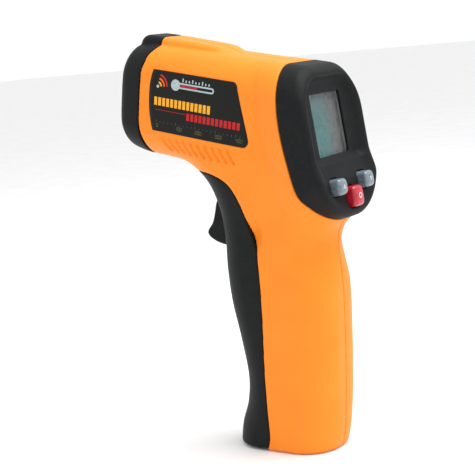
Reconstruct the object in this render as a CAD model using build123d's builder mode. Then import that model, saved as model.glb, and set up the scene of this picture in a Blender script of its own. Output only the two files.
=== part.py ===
from build123d import *
from math import cos, radians, sin, sqrt, tan
import os

os.makedirs("parts", exist_ok=True)

# ---------------------------------------------------------------------------
# Driving dimensions, in millimetres and degrees.
# The grip stands square on its base at the origin, +Z up, the nose points to
# -X, the display faces +X and the labelled left side faces -Y.
# ---------------------------------------------------------------------------

# Barrel (head), measured along its own pitched axis: u to the rear, w up
PITCH = 11.0                # nose-up angle of the barrel
HEAD_X = -8.2               # barrel datum above the base
HEAD_Z = 128.0
NOSE_FRONT = -49.4
NOSE_SEAM = -36.0
FLARE_START = 14.0
FLARE_END = 50.0
BARREL_TOP = 21.7
BARREL_BOTTOM = -21.0
NOSE_INSET = 1.6            # how far the front of the nose draws in all round
FRONT_WALL = 1.1            # front wall of the nose, as a multiple of the wall
BARREL_HALF = 18.0
NOSE_HALF = 17.0
FLARE_HALF = 20.6
BARREL_CORNER = 11.5
RIDGE_TOP = 25.0
RIDGE_FRONT = -46.0
RIDGE_END = -11.0
RIDGE_FOOT = -4.0
RIDGE_HALF = 7.5
RIDGE_BEVEL = 2.2

WALL = 2.2

# Battery compartment: two AAA cells side by side
CELL_R = 5.25
CELL_LENGTH = 44.5
NUB_R = 1.9
NUB_H = 1.0
CELL_APART = 0.7            # between the two cells
CELL_Y = CELL_R + CELL_APART / 2
CELL_X = 0.0
HOLDER_Z = 17.0
HOLDER_T = 1.4
HOLDER_ROOM = 0.65          # between the holder and the grip's inner wall
SPRING_H = 3.0
PLATE_T = 0.4
CONTACT_GAP = 0.1
CELL_GAP = 0.4
CELL_EDGE = 0.4
NUB_ROOT = 0.1              # how far the nub is sunk into its cell
CELL_TURNS = 2

# Grip, as rounded sections at heights above the base, wide enough for the cells
GRIP_HALF = CELL_Y + CELL_R + CELL_GAP + HOLDER_T + HOLDER_ROOM + WALL
GRIP_CORNER = 9.0
GRIP_BASE = (-20.6, 21.0)
GRIP_WAIST = (-15.6, 25.9)
GRIP_BELLY = (-19.6, 28.2)
GRIP_NECK = (-18.8, 27.6)
GRIP_SADDLE = (-25.0, 28.4)
WAIST_Z = 24.0
BELLY_Z = 58.0
NECK_Z = 86.0
SADDLE_Z = 104.0
GRIP_TOP = 116.0
BASE_DRAW = 0.9             # how far the base draws in on each side
BASE_HALF = GRIP_HALF - BASE_DRAW
SEAM_GAP = 0.3              # door to shell, all round
FIT_GAP = 0.15              # moulded piece in its moulded seat
PIN_CLEARANCE = 0.05        # radial, a part that turns on a pin
PIN_SEAT = 0.02             # radial, a pin held in its bosses
SMALL = 0.1                 # touching pieces of different bodies stay this far apart

# Rear face: a shield-shaped bezel on a plane tilted off the barrel axis
FACE_X = 31.26
FACE_Z = 120.33
FACE_TILT = 6.17            # rear face leans forward at its top
SHIELD_HALF = 20.9
SHIELD_TOP = 19.6
SHIELD_BOTTOM = -33.6
SHIELD_TOP_R = 13.0
SHIELD_LOW_R = 18.0
SHIELD_TAPER = 8.0
SHIELD_LENGTH = 24.0
BEZEL_SEAM = [(25.0, 30.0), (24.6, 14.6), (28.6, -2.5), (36.0, -21.0), (43.4, -34.6)]
RIM = 3.0
DISH = 2.2                  # face floor below its rim
DISH_DRAFT = 20.0
DISH_LOW_V = -13.0         # the dish stops here, above the buttons

# Display stack, along the rear face normal
WINDOW_W = 21.0
WINDOW_H = 22.4
WINDOW_V = 2.2
PANE_LAP = 1.3
PANE_T = 1.2
LCD_LAP = 1.0
LCD_T = 2.7
FRAME_WALL = 1.1
FRAME_T = 4.8
ZEBRA_W = 2.0
PCB_T = 1.6
PCB_INSET = 2.6             # board edge to bezel wall
BOSS_X = 14.4
BOSS_V = -13.2
BOSS_R = 1.7
CHIP_V = 9.0
CHIP_SIDE = 10.0
CHIP_T = 1.6
CHIP_BEVEL = 0.3
RESISTOR_PLACES = [(-9.5, 8), (-9.5, 3), (9.5, 8), (9.5, 3), (-6, -8), (6, -8)]
RESISTOR_SIZE = (3.2, 1.6)
RESISTOR_T = 1.2
BUZZER_V = -17.0
BUZZER_R = 3.0
BUZZER_T = 5.0

# Buttons
BUTTON_X = 9.9
BUTTON_V = -20.0
BUTTON_W = 6.2
BUTTON_H = 6.0
MODE_V = -24.7
MODE_W = 6.8
MODE_H = 7.6
BUTTON_PROUD = 3.8
BUTTON_GAP = 0.3
BUTTON_R = 1.7
FLANGE = 0.8
FLANGE_T = 1.2
BUTTON_TRAVEL = 0.8
SWITCH_SIDE = 6.0
SWITCH_T = 3.4
PLUNGER_R = 1.7
PLUNGER_SEAT = 0.4          # metal left under a switch plunger

# Infrared sensor and laser, along the barrel
SENSOR_W = -3.0
APERTURE_R = 9.0
TUBE_R = 9.8
TUBE_BORE_R = 8.0
TUBE_END = -14.3
LENS_Z = -37.6
LENS_R = 7.9
LENS_T = 1.2
SHOULDER_R = 6.9
CAN_R = 4.6
CAN_LENGTH = 5.6
SENSOR_PCB_W = 24.0
SENSOR_PCB_H = 20.0
LASER_W = 18.2
LASER_R = 3.2
LASER_HOLE_R = 2.0
LASER_LENGTH = 15.0
LASER_LENS_T = 1.0
SPIGOT_ROOT = 4.0           # how far ahead of the seam the nose cap's spigot starts
SPIGOT_LAP = 0.5
SPIGOT_REACH = 3.0
FRONT_CUT = 8.0

# Door, hinged low at the front
HINGE_X = -15.2
HINGE_Z = 7.6
HINGE_PIN_R = 1.2
KNUCKLE_R = 2.4
KNUCKLE_CLEARANCE = 0.4
TONGUE_HALF = 6.0
TONGUE_ROOT = 3.0
KNUCKLE_W = 4.0
DOOR_HEEL_R = 13.4
DOOR_FLOOR_Z = 0.8
DOOR_SEAM = [(-40, 108.4), (-24, 107.8), (-15, 106.8), (-8.2, 103.2), (-2.4, 90), (0.6, 77), (0.4, 55)]
DOOR_OPEN = 60.0

# Trigger, hung from a pin in the head
PIVOT_X = -12.5
PIVOT_Z = 111.5
PIVOT_PIN_R = 1.5
PIVOT_BOSS_R = 3.4
TRIGGER_HALF = 4.4
SLOT_SIDE_GAP = 0.8
SLOT_BOTTOM = 74.6
SLOT_TOP = 99.0
SLOT_BACK = 6.9             # the slot is cut back to here
TRIGGER_BACK = -6.0
BOARD_X = 3.0
BOARD_Z = (78.0, 98.0)
PUSHER_Z = 84.0
PUSHER_R = 1.5
PLUNGER_GAP = 0.25          # trigger to plunger, at rest
SPRING_Z = 91.5
SPRING_R = 2.2
WIRE_R = 0.25
SPRING_TURNS = 5

# Fasteners and leads
SCREW_R = 1.2
SCREW_HEAD_R = 2.6
SCREW_HEAD_T = 1.8
SCREW_BOSS_R = 3.2
SCREW_HEAD_Y = 10.4
SCREW_REACH = 8.0
PCB_SCREW_R = 0.9
GRIP_SCREW_INSET = 8.4
LOW_SCREW_Z = 10.0
HIGH_SCREW_Z = 72.0
TOP_SCREW = (-1.0, 9.8)     # from the barrel datum, under the right label
REAR_SCREW = (13.4, -15.0)
DRIVE_SLOT = (3.0, 0.6)
DRIVE_DEPTH = 1.0
LEAD_R = 0.6
LABEL_T = 0.35
LABEL_W = (-9.6, 13.4)
LABEL_TOP_U = (-31.2, 6.7)
LABEL_LOW_U = (-29.8, 14.0)
LABEL_BOW_U = -32.6
BIG = 80.0

# ---------------------------------------------------------------------------
# Datum planes
# ---------------------------------------------------------------------------
tilt, lean = radians(PITCH), radians(FACE_TILT)
HEAD_ORIGIN = (HEAD_X, 0, HEAD_Z)
BARREL = Plane(HEAD_ORIGIN, x_dir=(cos(tilt), 0, -sin(tilt)), z_dir=(0, -1, 0))
NOSE = Plane(HEAD_ORIGIN, x_dir=(0, 1, 0), z_dir=(cos(tilt), 0, -sin(tilt)))
FACE = Plane((FACE_X, 0, FACE_Z), x_dir=(0, 1, 0), z_dir=(cos(lean), 0, sin(lean)))
SIDE = Plane.XZ

# Stations along the rear face normal, each tied to the one before
face_floor = -DISH
pane_top = face_floor - WALL - SMALL
lcd_top = pane_top - PANE_T - SMALL
frame_back = lcd_top - FRAME_T
pcb_top = frame_back - SMALL
pcb_back = pcb_top - PCB_T
switch_top = pcb_top + SWITCH_T
flange_top = face_floor - WALL - SMALL
cap_under = flange_top - FLANGE_T


def barrel_section(half, inset=0.0, draw=0.0):
    """One rounded section of the barrel, drawn in by its inset."""
    height = BARREL_TOP - BARREL_BOTTOM - 2 * (inset + draw)
    with Locations((0, (BARREL_TOP + BARREL_BOTTOM) / 2)):
        RectangleRounded(2 * (half - inset), height, BARREL_CORNER - inset)


def barrel_loft(inset=0.0):
    """The barrel from its nose to past the rear face, drawn in by its inset."""
    stations = (
        (NOSE_FRONT + max(inset, 0) * FRONT_WALL, NOSE_HALF - NOSE_INSET, NOSE_INSET),
        (NOSE_SEAM, NOSE_HALF, 0.0),
        (FLARE_START, BARREL_HALF, 0.0),
        (FLARE_END, FLARE_HALF, 0.0),
    )
    sections = []
    for u, half, draw in stations:
        with BuildSketch(NOSE.offset(u)) as section:
            barrel_section(half, inset, draw)
        sections.append(section.sketch.face())
    loft(sections, ruled=True)


def grip_loft(inset=0.0):
    """The grip from its base up into the head, drawn in by its inset."""
    stations = (
        (inset, GRIP_BASE, BASE_HALF),
        (WAIST_Z, GRIP_WAIST, GRIP_HALF),
        (BELLY_Z, GRIP_BELLY, GRIP_HALF),
        (NECK_Z, GRIP_NECK, GRIP_HALF),
        (SADDLE_Z, GRIP_SADDLE, GRIP_HALF),
        (GRIP_TOP, GRIP_SADDLE, GRIP_HALF),
    )
    sections = []
    for z, (front, rear), half in stations:
        with BuildSketch(Plane.XY.offset(z)) as section:
            with Locations(((front + rear) / 2, 0)):
                RectangleRounded(rear - front - 2 * inset, 2 * (half - inset), GRIP_CORNER - inset)
        sections.append(section.sketch.face())
    loft(sections, ruled=True)


def shield(inset=0.0):
    """Outline of the rear face: broad shoulders and a rounded chin."""
    half, top, low = SHIELD_HALF - inset, SHIELD_TOP - inset, SHIELD_BOTTOM + inset
    with BuildLine() as outline:
        FilletPolyline(
            (-half, top), (half, top), (half, low), (-half, low),
            radius=[SHIELD_TOP_R - inset, SHIELD_TOP_R - inset, SHIELD_LOW_R - inset, SHIELD_LOW_R - inset],
            close=True,
        )
    make_face(outline.edges())


def collar(inset=0.0, start=0.0):
    """The flared rear of the head, which carries the bezel."""
    with BuildSketch(FACE.offset(start)) as profile:
        shield(inset)
    extrude(profile.sketch, amount=-(SHIELD_LENGTH + start), taper=SHIELD_TAPER)


def ridge(inset=0.0):
    """The raised laser housing along the top of the barrel."""
    top = RIDGE_TOP - inset
    root = BARREL_TOP - WALL - RIDGE_BEVEL
    with BuildSketch(BARREL) as outline:
        with BuildLine():
            Polyline(
                (RIDGE_FRONT + inset, root), (RIDGE_FRONT + inset, top - RIDGE_BEVEL),
                (RIDGE_FRONT + inset + RIDGE_BEVEL, top), (RIDGE_END - inset, top),
                (RIDGE_FOOT - inset, BARREL_TOP - inset), (RIDGE_FOOT - inset, root),
                close=True,
            )
        make_face()
    extrude(outline.sketch, amount=RIDGE_HALF - inset, both=True)


def door_outline(gap):
    """Side view of everything the door takes from the grip, grown by a gap."""
    heel_r = DOOR_HEEL_R + gap
    heel_low = HINGE_X + sqrt(heel_r ** 2 - (HINGE_Z + 1) ** 2)
    with BuildLine() as outline:
        seam = Spline(
            *[(x + gap, z + gap) for x, z in DOOR_SEAM], (HINGE_X + heel_r, HINGE_Z),
            tangents=[(1, 0), (0, -1)],
        )
        heel = RadiusArc(seam @ 1, (heel_low, -1), heel_r)
        Polyline(heel @ 1, (-BIG, -1), (-BIG, seam.position_at(0).Y), seam @ 0)
    make_face(outline.edges())


def bezel_outline():
    """Side view of everything behind the bezel seam."""
    with BuildLine() as outline:
        seam = Spline(*BEZEL_SEAM)
        Polyline(seam @ 1, (BIG, BEZEL_SEAM[-1][1]), (BIG, BEZEL_SEAM[0][1]), seam @ 0)
    make_face(outline.edges())


def envelope(inset=0.0):
    """The whole outer form of the housing, or the hollow inside it."""
    barrel_loft(inset)
    grip_loft(inset)
    collar(inset, -inset)
    ridge(inset)


# ---------------------------------------------------------------------------
# Master forms, cut up below into the moulded pieces
# ---------------------------------------------------------------------------
with BuildPart() as outer_form:
    envelope()
    with BuildSketch(FACE) as beyond_face:
        Rectangle(2 * BIG, 2 * BIG)
    extrude(amount=BIG, mode=Mode.SUBTRACT)

with BuildPart() as inner_form:
    envelope(WALL)
    with BuildSketch(FACE.offset(face_floor - WALL)):
        Rectangle(2 * BIG, 2 * BIG)
    extrude(amount=BIG, mode=Mode.SUBTRACT)

with BuildPart() as skin:
    add(outer_form.part)
    add(inner_form.part, mode=Mode.SUBTRACT)


# Screw positions, seen from the side: two in the grip and two in the head
screw_places = [
    (GRIP_WAIST[1] - GRIP_SCREW_INSET, LOW_SCREW_Z),
    (GRIP_BELLY[1] - GRIP_SCREW_INSET, HIGH_SCREW_Z),
    (HEAD_X + TOP_SCREW[0], HEAD_Z + TOP_SCREW[1]),
    (HEAD_X + REAR_SCREW[0], HEAD_Z + REAR_SCREW[1]),
]

# ---------------------------------------------------------------------------
# Housing halves
# ---------------------------------------------------------------------------
with BuildPart() as bosses:
    with BuildSketch(SIDE):
        with Locations(*screw_places):
            Circle(SCREW_BOSS_R)
    extrude(amount=BIG, both=True)
    with BuildSketch(SIDE):
        with Locations((PIVOT_X, PIVOT_Z)):
            Circle(PIVOT_BOSS_R)
    extrude(amount=BIG, both=True)
    with BuildSketch(SIDE):
        with Locations((PIVOT_X, PIVOT_Z)):
            Circle(PIVOT_BOSS_R + SMALL)
    extrude(amount=TRIGGER_HALF + SLOT_SIDE_GAP, both=True, mode=Mode.SUBTRACT)
    add(outer_form.part, mode=Mode.INTERSECT)

with BuildPart() as housing:
    add(skin.part)
    with BuildSketch(SIDE):
        door_outline(SEAM_GAP)
    extrude(amount=BIG, both=True, mode=Mode.SUBTRACT)
    add(bosses.part)
    # Hinge tongue, reaching forward under the battery compartment. Its underside
    # lies along the door's front wall when the door is fully open.
    swing = radians(DOOR_OPEN)
    tongue_low_x = HINGE_X - KNUCKLE_R * cos(swing)
    tongue_low_z = HINGE_Z - KNUCKLE_R * sin(swing)
    with BuildSketch(SIDE):
        with BuildLine():
            Polyline(
                (TONGUE_ROOT, 0), (TONGUE_ROOT, HINGE_Z + KNUCKLE_R), (HINGE_X, HINGE_Z + KNUCKLE_R),
                (HINGE_X, HINGE_Z), (tongue_low_x, tongue_low_z),
                (tongue_low_x + tongue_low_z * tan(swing), 0), close=True,
            )
        make_face()
        with Locations((HINGE_X, HINGE_Z)):
            Circle(KNUCKLE_R)
    extrude(amount=TONGUE_HALF, both=True)
    with BuildSketch(SIDE):
        with Locations((HINGE_X, HINGE_Z)):
            Circle(HINGE_PIN_R + PIN_SEAT)
        with Locations((PIVOT_X, PIVOT_Z)):
            Circle(PIVOT_PIN_R + PIN_SEAT)
    extrude(amount=GRIP_HALF - WALL / 2, both=True, mode=Mode.SUBTRACT)
    # Rails that hold the trigger switch board
    rail_x = BOARD_X + PCB_T + FIT_GAP
    with BuildSketch(SIDE):
        with Locations((rail_x + HOLDER_T / 2, sum(BOARD_Z) / 2)):
            Rectangle(HOLDER_T, BOARD_Z[1] - BOARD_Z[0])
    extrude(amount=GRIP_HALF - WALL / 2, both=True)
    with BuildSketch(SIDE):
        with Locations((rail_x, sum(BOARD_Z) / 2)):
            Rectangle(4 * HOLDER_T, BOARD_Z[1])
    extrude(amount=GRIP_HALF / 2, both=True, mode=Mode.SUBTRACT)
    with BuildSketch(BARREL):
        bezel_outline()
    extrude(amount=BIG, both=True, mode=Mode.SUBTRACT)
    with BuildSketch(NOSE.offset(NOSE_SEAM)):
        Rectangle(2 * BIG, 2 * BIG)
    extrude(amount=-BIG, mode=Mode.SUBTRACT)

with BuildPart() as left_shell:
    add(housing.part)
    split(bisect_by=SIDE, keep=Keep.TOP)
    with BuildSketch(SIDE):
        with Locations(*screw_places):
            Circle(SCREW_R + PIN_SEAT)
    extrude(amount=SCREW_REACH + SMALL, mode=Mode.SUBTRACT)
left_shell.part.label = "left_shell"
export_step(left_shell.part, "parts/left_shell.step")

with BuildPart() as right_shell:
    add(housing.part)
    split(bisect_by=SIDE, keep=Keep.BOTTOM)
    with BuildSketch(SIDE):
        with Locations(*screw_places):
            Circle(SCREW_R + FIT_GAP)
    extrude(amount=-BIG, mode=Mode.SUBTRACT)
    with BuildSketch(SIDE.offset(-SCREW_HEAD_Y)):
        with Locations(*screw_places):
            Circle(SCREW_HEAD_R + FIT_GAP)
    extrude(amount=-BIG, mode=Mode.SUBTRACT)
right_shell.part.label = "right_shell"
export_step(right_shell.part, "parts/right_shell.step")


# ---------------------------------------------------------------------------
# Nose cap: a cup over the front of the barrel, spigoted into the shells
# ---------------------------------------------------------------------------
with BuildPart() as nose_cap:
    add(skin.part)
    with BuildSketch(NOSE.offset(NOSE_SEAM)):
        Rectangle(2 * BIG, 2 * BIG)
    extrude(amount=-BIG, mode=Mode.INTERSECT)
    spigot_root = NOSE_SEAM - SPIGOT_ROOT
    with BuildSketch(NOSE.offset(spigot_root)):
        barrel_section(NOSE_HALF, WALL - SPIGOT_LAP)
    extrude(amount=SPIGOT_ROOT)
    with BuildSketch(NOSE.offset(NOSE_SEAM)):
        barrel_section(NOSE_HALF, WALL + FIT_GAP)
    extrude(amount=SPIGOT_REACH)
    with BuildSketch(NOSE.offset(spigot_root)):
        barrel_section(NOSE_HALF, WALL + HOLDER_T)
    extrude(amount=SPIGOT_ROOT + 2 * SPIGOT_REACH, mode=Mode.SUBTRACT)
    with BuildSketch(NOSE.offset(NOSE_FRONT - WALL)):
        with Locations((0, SENSOR_W)):
            Circle(APERTURE_R)
        with Locations((0, LASER_W)):
            Circle(LASER_HOLE_R)
    extrude(amount=FRONT_CUT, mode=Mode.SUBTRACT)
    # The spigot is notched where the laser passes through it
    with BuildSketch(NOSE.offset(RIDGE_FRONT + WALL)):
        with Locations((0, LASER_W)):
            Rectangle(2 * (RIDGE_HALF - WALL), 2 * (LASER_R + FIT_GAP))
    extrude(amount=LASER_LENGTH, mode=Mode.SUBTRACT)
nose_cap.part.label = "nose_cap"
export_step(nose_cap.part, "parts/nose_cap.step")

# ---------------------------------------------------------------------------
# Rear bezel: dished face, window opening, button wells and board bosses
# ---------------------------------------------------------------------------
button_places = {
    "left": (-BUTTON_X, BUTTON_V, BUTTON_W, BUTTON_H),
    "right": (BUTTON_X, BUTTON_V, BUTTON_W, BUTTON_H),
    "mode": (0, MODE_V, MODE_W, MODE_H),
}
board_bosses = [(-BOSS_X, BOSS_V), (BOSS_X, BOSS_V)]

with BuildPart() as rear_bezel:
    add(skin.part)
    with BuildSketch(BARREL):
        bezel_outline()
    extrude(amount=BIG, both=True, mode=Mode.INTERSECT)
    with BuildSketch(FACE.offset(face_floor)):
        shield(RIM)
        with Locations((0, DISH_LOW_V - BIG)):
            Rectangle(2 * BIG, 2 * BIG, mode=Mode.SUBTRACT)
    extrude(amount=DISH + RIM, taper=-DISH_DRAFT, mode=Mode.SUBTRACT)
    with BuildSketch(FACE.offset(face_floor - WALL)):
        with Locations(*board_bosses):
            Circle(BOSS_R)
    extrude(amount=-(face_floor - WALL - pcb_top))
    with BuildSketch(FACE.offset(pcb_top)):
        with Locations(*board_bosses):
            Circle(PCB_SCREW_R + PIN_SEAT)
    extrude(amount=LCD_T + WALL, mode=Mode.SUBTRACT)
    with BuildSketch(FACE.offset(RIM)):
        with Locations((0, WINDOW_V)):
            Rectangle(WINDOW_W, WINDOW_H)
        for x, v, width, height in button_places.values():
            with Locations((x, v)):
                RectangleRounded(width + 2 * BUTTON_GAP, height + 2 * BUTTON_GAP, BUTTON_R + BUTTON_GAP)
    extrude(amount=-(DISH + WALL + 2 * RIM), mode=Mode.SUBTRACT)
rear_bezel.part.label = "rear_bezel"
export_step(rear_bezel.part, "parts/rear_bezel.step")

# ---------------------------------------------------------------------------
# Battery door: a channel-shaped shell that swings on a pin low at its front
# ---------------------------------------------------------------------------
with BuildPart() as battery_door:
    add(skin.part)
    with BuildSketch(SIDE):
        door_outline(0)
    extrude(amount=BIG, both=True, mode=Mode.INTERSECT)
    with BuildSketch(Plane.XY.offset(DOOR_FLOOR_Z)):
        Rectangle(2 * BIG, 2 * BIG)
    extrude(amount=-BIG, mode=Mode.SUBTRACT)
    # Slot that the trigger comes out through
    slot_half = TRIGGER_HALF + SLOT_SIDE_GAP
    with BuildSketch(Plane.YZ.offset(SLOT_BACK - BIG)):
        with Locations((0, (SLOT_BOTTOM + SLOT_TOP) / 2)):
            RectangleRounded(2 * slot_half, SLOT_TOP - SLOT_BOTTOM, slot_half / 2)
    extrude(amount=BIG, mode=Mode.SUBTRACT)
    # Room for the hinge tongue
    with BuildSketch(SIDE):
        with Locations((HINGE_X, HINGE_Z)):
            Circle(KNUCKLE_R + KNUCKLE_CLEARANCE)
        with Locations((HINGE_X + BIG / 2, 0)):
            Rectangle(BIG, 2 * (HINGE_Z + KNUCKLE_R + KNUCKLE_CLEARANCE))
        with Locations((HINGE_X - KNUCKLE_R - KNUCKLE_CLEARANCE + BIG / 2, 0)):
            Rectangle(BIG, 2 * HINGE_Z)
    extrude(amount=TONGUE_HALF + SEAM_GAP, both=True, mode=Mode.SUBTRACT)
    # Knuckles on the inside of the front wall, one each side of the tongue
    for side in (1, -1):
        with BuildSketch(SIDE.offset(side * (TONGUE_HALF + SEAM_GAP))):
            with Locations((HINGE_X, HINGE_Z)):
                Circle(KNUCKLE_R)
            with Locations((HINGE_X - KNUCKLE_R / 2, HINGE_Z)):
                Rectangle(KNUCKLE_R, 2 * KNUCKLE_R)
        extrude(amount=side * KNUCKLE_W)
    with BuildSketch(SIDE):
        with Locations((HINGE_X, HINGE_Z)):
            Circle(HINGE_PIN_R + PIN_CLEARANCE)
    extrude(amount=TONGUE_HALF + KNUCKLE_W, both=True, mode=Mode.SUBTRACT)
battery_door.part.label = "battery_door"
export_step(battery_door.part, "parts/battery_door.step")

with BuildPart() as door_hinge_pin:
    with BuildSketch(SIDE):
        with Locations((HINGE_X, HINGE_Z)):
            Circle(HINGE_PIN_R)
    extrude(amount=TONGUE_HALF + KNUCKLE_W - 1, both=True)
door_hinge_pin.part.label = "door_hinge_pin"
export_step(door_hinge_pin.part, "parts/door_hinge_pin.step")

# ---------------------------------------------------------------------------
# Trigger, its pin, return spring and switch
# ---------------------------------------------------------------------------
with BuildPart() as trigger:
    with BuildSketch(SIDE):
        with BuildLine():
            Polyline(
                (PIVOT_X - 2.6, PIVOT_Z), (-15.5, 101), (-21.6, 97.5), (-23.9, 94), (-25.2, 90),
                (-28.9, 83.2), (-27.6, 80.8), (-21, 77.6), (-14, 77), (TRIGGER_BACK, 79),
                (TRIGGER_BACK, 95), (-9.2, 100), (PIVOT_X + 2.6, PIVOT_Z), close=True,
            )
        make_face()
    extrude(amount=TRIGGER_HALF, both=True)
    finger_edges = trigger.edges().filter_by(Axis.Y).group_by(Axis.X)[0]
    fillet(finger_edges, 1.2)
    with BuildSketch(SIDE):
        with Locations((PIVOT_X, PIVOT_Z)):
            Circle(PIVOT_BOSS_R - SMALL)
    extrude(amount=TRIGGER_HALF, both=True)
    with BuildSketch(SIDE):
        with Locations((PIVOT_X, PIVOT_Z)):
            Circle(PIVOT_PIN_R + PIN_CLEARANCE)
    extrude(amount=TRIGGER_HALF, both=True, mode=Mode.SUBTRACT)
trigger.part.label = "trigger"
export_step(trigger.part, "parts/trigger.step")

with BuildPart() as trigger_pin:
    with BuildSketch(SIDE):
        with Locations((PIVOT_X, PIVOT_Z)):
            Circle(PIVOT_PIN_R)
    extrude(amount=BARREL_HALF - WALL - 2, both=True)
trigger_pin.part.label = "trigger_pin"
export_step(trigger_pin.part, "parts/trigger_pin.step")

with BuildPart() as trigger_board:
    with BuildSketch(Plane.YZ.offset(BOARD_X)):
        with Locations((0, sum(BOARD_Z) / 2)):
            Rectangle(2 * (GRIP_HALF - WALL - 1.5), BOARD_Z[1] - BOARD_Z[0])
    extrude(amount=PCB_T)
trigger_board.part.label = "trigger_board"
export_step(trigger_board.part, "parts/trigger_board.step")

with BuildPart() as trigger_switch:
    with BuildSketch(Plane.YZ.offset(BOARD_X)):
        with Locations((0, PUSHER_Z)):
            Rectangle(SWITCH_SIDE, SWITCH_SIDE)
    extrude(amount=-SWITCH_T)
    with BuildSketch(Plane.YZ.offset(BOARD_X - SWITCH_T)):
        with Locations((0, PUSHER_Z)):
            Circle(PUSHER_R + PIN_CLEARANCE)
    extrude(amount=SWITCH_T - PLUNGER_SEAT, mode=Mode.SUBTRACT)
trigger_switch.part.label = "trigger_switch"
export_step(trigger_switch.part, "parts/trigger_switch.step")

with BuildPart() as trigger_plunger:
    plunger_face = TRIGGER_BACK + PLUNGER_GAP
    with BuildSketch(Plane.YZ.offset(plunger_face)):
        with Locations((0, PUSHER_Z)):
            Circle(PUSHER_R)
    extrude(amount=BOARD_X - SWITCH_T - plunger_face + PLUNGER_SEAT)
trigger_plunger.part.label = "trigger_plunger"
export_step(trigger_plunger.part, "parts/trigger_plunger.step")

spring_run = BOARD_X - TRIGGER_BACK - 2 * (WIRE_R + SMALL)
spring_start = (TRIGGER_BACK + WIRE_R + SMALL, 0, SPRING_Z)
with BuildPart() as trigger_spring:
    with BuildLine() as coil:
        Helix(
            pitch=spring_run / SPRING_TURNS, height=spring_run, radius=SPRING_R,
            center=spring_start, direction=(1, 0, 0),
        )
    with BuildSketch(Plane(coil.line @ 0, z_dir=coil.line % 0)) as wire:
        Circle(WIRE_R)
    sweep(wire.sketch, path=coil.line, is_frenet=True)
trigger_spring.part.label = "trigger_spring"
export_step(trigger_spring.part, "parts/trigger_spring.step")

# ---------------------------------------------------------------------------
# Display: window pane, liquid crystal cell, frame and contact strips
# ---------------------------------------------------------------------------
with BuildPart() as display_window:
    with BuildSketch(FACE.offset(pane_top)):
        with Locations((0, WINDOW_V)):
            Rectangle(WINDOW_W + 2 * PANE_LAP, WINDOW_H + 2 * PANE_LAP)
    extrude(amount=-PANE_T)
display_window.part.label = "display_window"
export_step(display_window.part, "parts/display_window.step")

lcd_w, lcd_h = WINDOW_W + 2 * LCD_LAP, WINDOW_H + 2 * LCD_LAP
with BuildPart() as lcd_cell:
    with BuildSketch(FACE.offset(lcd_top)):
        with Locations((0, WINDOW_V)):
            Rectangle(lcd_w, lcd_h)
    extrude(amount=-LCD_T)
lcd_cell.part.label = "lcd_cell"
export_step(lcd_cell.part, "parts/lcd_cell.step")

zebra_places = [(0, WINDOW_V + side * (lcd_h / 2 - ZEBRA_W)) for side in (1, -1)]
with BuildPart() as lcd_frame:
    with BuildSketch(FACE.offset(lcd_top)):
        with Locations((0, WINDOW_V)):
            Rectangle(lcd_w + 2 * (FIT_GAP + FRAME_WALL), lcd_h + 2 * (FIT_GAP + FRAME_WALL))
    extrude(amount=-FRAME_T)
    with BuildSketch(FACE.offset(lcd_top)):
        with Locations((0, WINDOW_V)):
            Rectangle(lcd_w + 2 * FIT_GAP, lcd_h + 2 * FIT_GAP)
    extrude(amount=-LCD_T, mode=Mode.SUBTRACT)
    with BuildSketch(FACE.offset(lcd_top)):
        with Locations((0, WINDOW_V)):
            Rectangle(lcd_w - 2 * ZEBRA_W, lcd_h - 6 * ZEBRA_W)
        with Locations(*zebra_places):
            Rectangle(lcd_w - ZEBRA_W + 2 * FIT_GAP, ZEBRA_W + 2 * FIT_GAP)
    extrude(amount=-FRAME_T, mode=Mode.SUBTRACT)
lcd_frame.part.label = "lcd_frame"
export_step(lcd_frame.part, "parts/lcd_frame.step")

with BuildPart() as contact_strips:
    with BuildSketch(FACE.offset(pcb_top)):
        with Locations(*zebra_places):
            Rectangle(lcd_w - ZEBRA_W, ZEBRA_W)
    extrude(amount=lcd_top - LCD_T - pcb_top)
contact_strips.part.label = "contact_strips"
export_step(contact_strips.part, "parts/contact_strips.step")

# ---------------------------------------------------------------------------
# Main board, what is soldered to it, and its screws
# ---------------------------------------------------------------------------
with BuildPart() as main_board:
    with BuildSketch(FACE.offset(pcb_back)):
        shield(WALL + PCB_INSET)
        with Locations(*board_bosses):
            Circle(PCB_SCREW_R + FIT_GAP, mode=Mode.SUBTRACT)
    extrude(amount=PCB_T)
main_board.part.label = "main_board"
export_step(main_board.part, "parts/main_board.step")

with BuildPart() as microcontroller:
    with BuildSketch(FACE.offset(pcb_back)):
        with Locations((0, CHIP_V)):
            Rectangle(CHIP_SIDE, CHIP_SIDE)
    extrude(amount=-CHIP_T)
    chamfer(microcontroller.faces().sort_by(Axis.X)[0].edges(), CHIP_BEVEL)
microcontroller.part.label = "microcontroller"
export_step(microcontroller.part, "parts/microcontroller.step")

with BuildPart() as board_components:
    with BuildSketch(FACE.offset(pcb_back)):
        with Locations(*RESISTOR_PLACES):
            Rectangle(*RESISTOR_SIZE)
    extrude(amount=-RESISTOR_T)
    with BuildSketch(FACE.offset(pcb_back)):
        with Locations((0, BUZZER_V)):
            Circle(BUZZER_R)
    extrude(amount=-BUZZER_T)
board_components.part.label = "board_components"
export_step(board_components.part, "parts/board_components.step")

with BuildPart() as button_switches:
    with BuildSketch(FACE.offset(pcb_top)):
        with Locations(*[(x, v) for x, v, width, height in button_places.values()]):
            Rectangle(SWITCH_SIDE, SWITCH_SIDE)
    extrude(amount=SWITCH_T)
    with BuildSketch(FACE.offset(switch_top)):
        with Locations(*[(x, v) for x, v, width, height in button_places.values()]):
            Circle(PLUNGER_R + PIN_CLEARANCE)
    extrude(amount=-(SWITCH_T - PLUNGER_SEAT), mode=Mode.SUBTRACT)
button_switches.part.label = "button_switches"
export_step(button_switches.part, "parts/button_switches.step")

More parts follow.
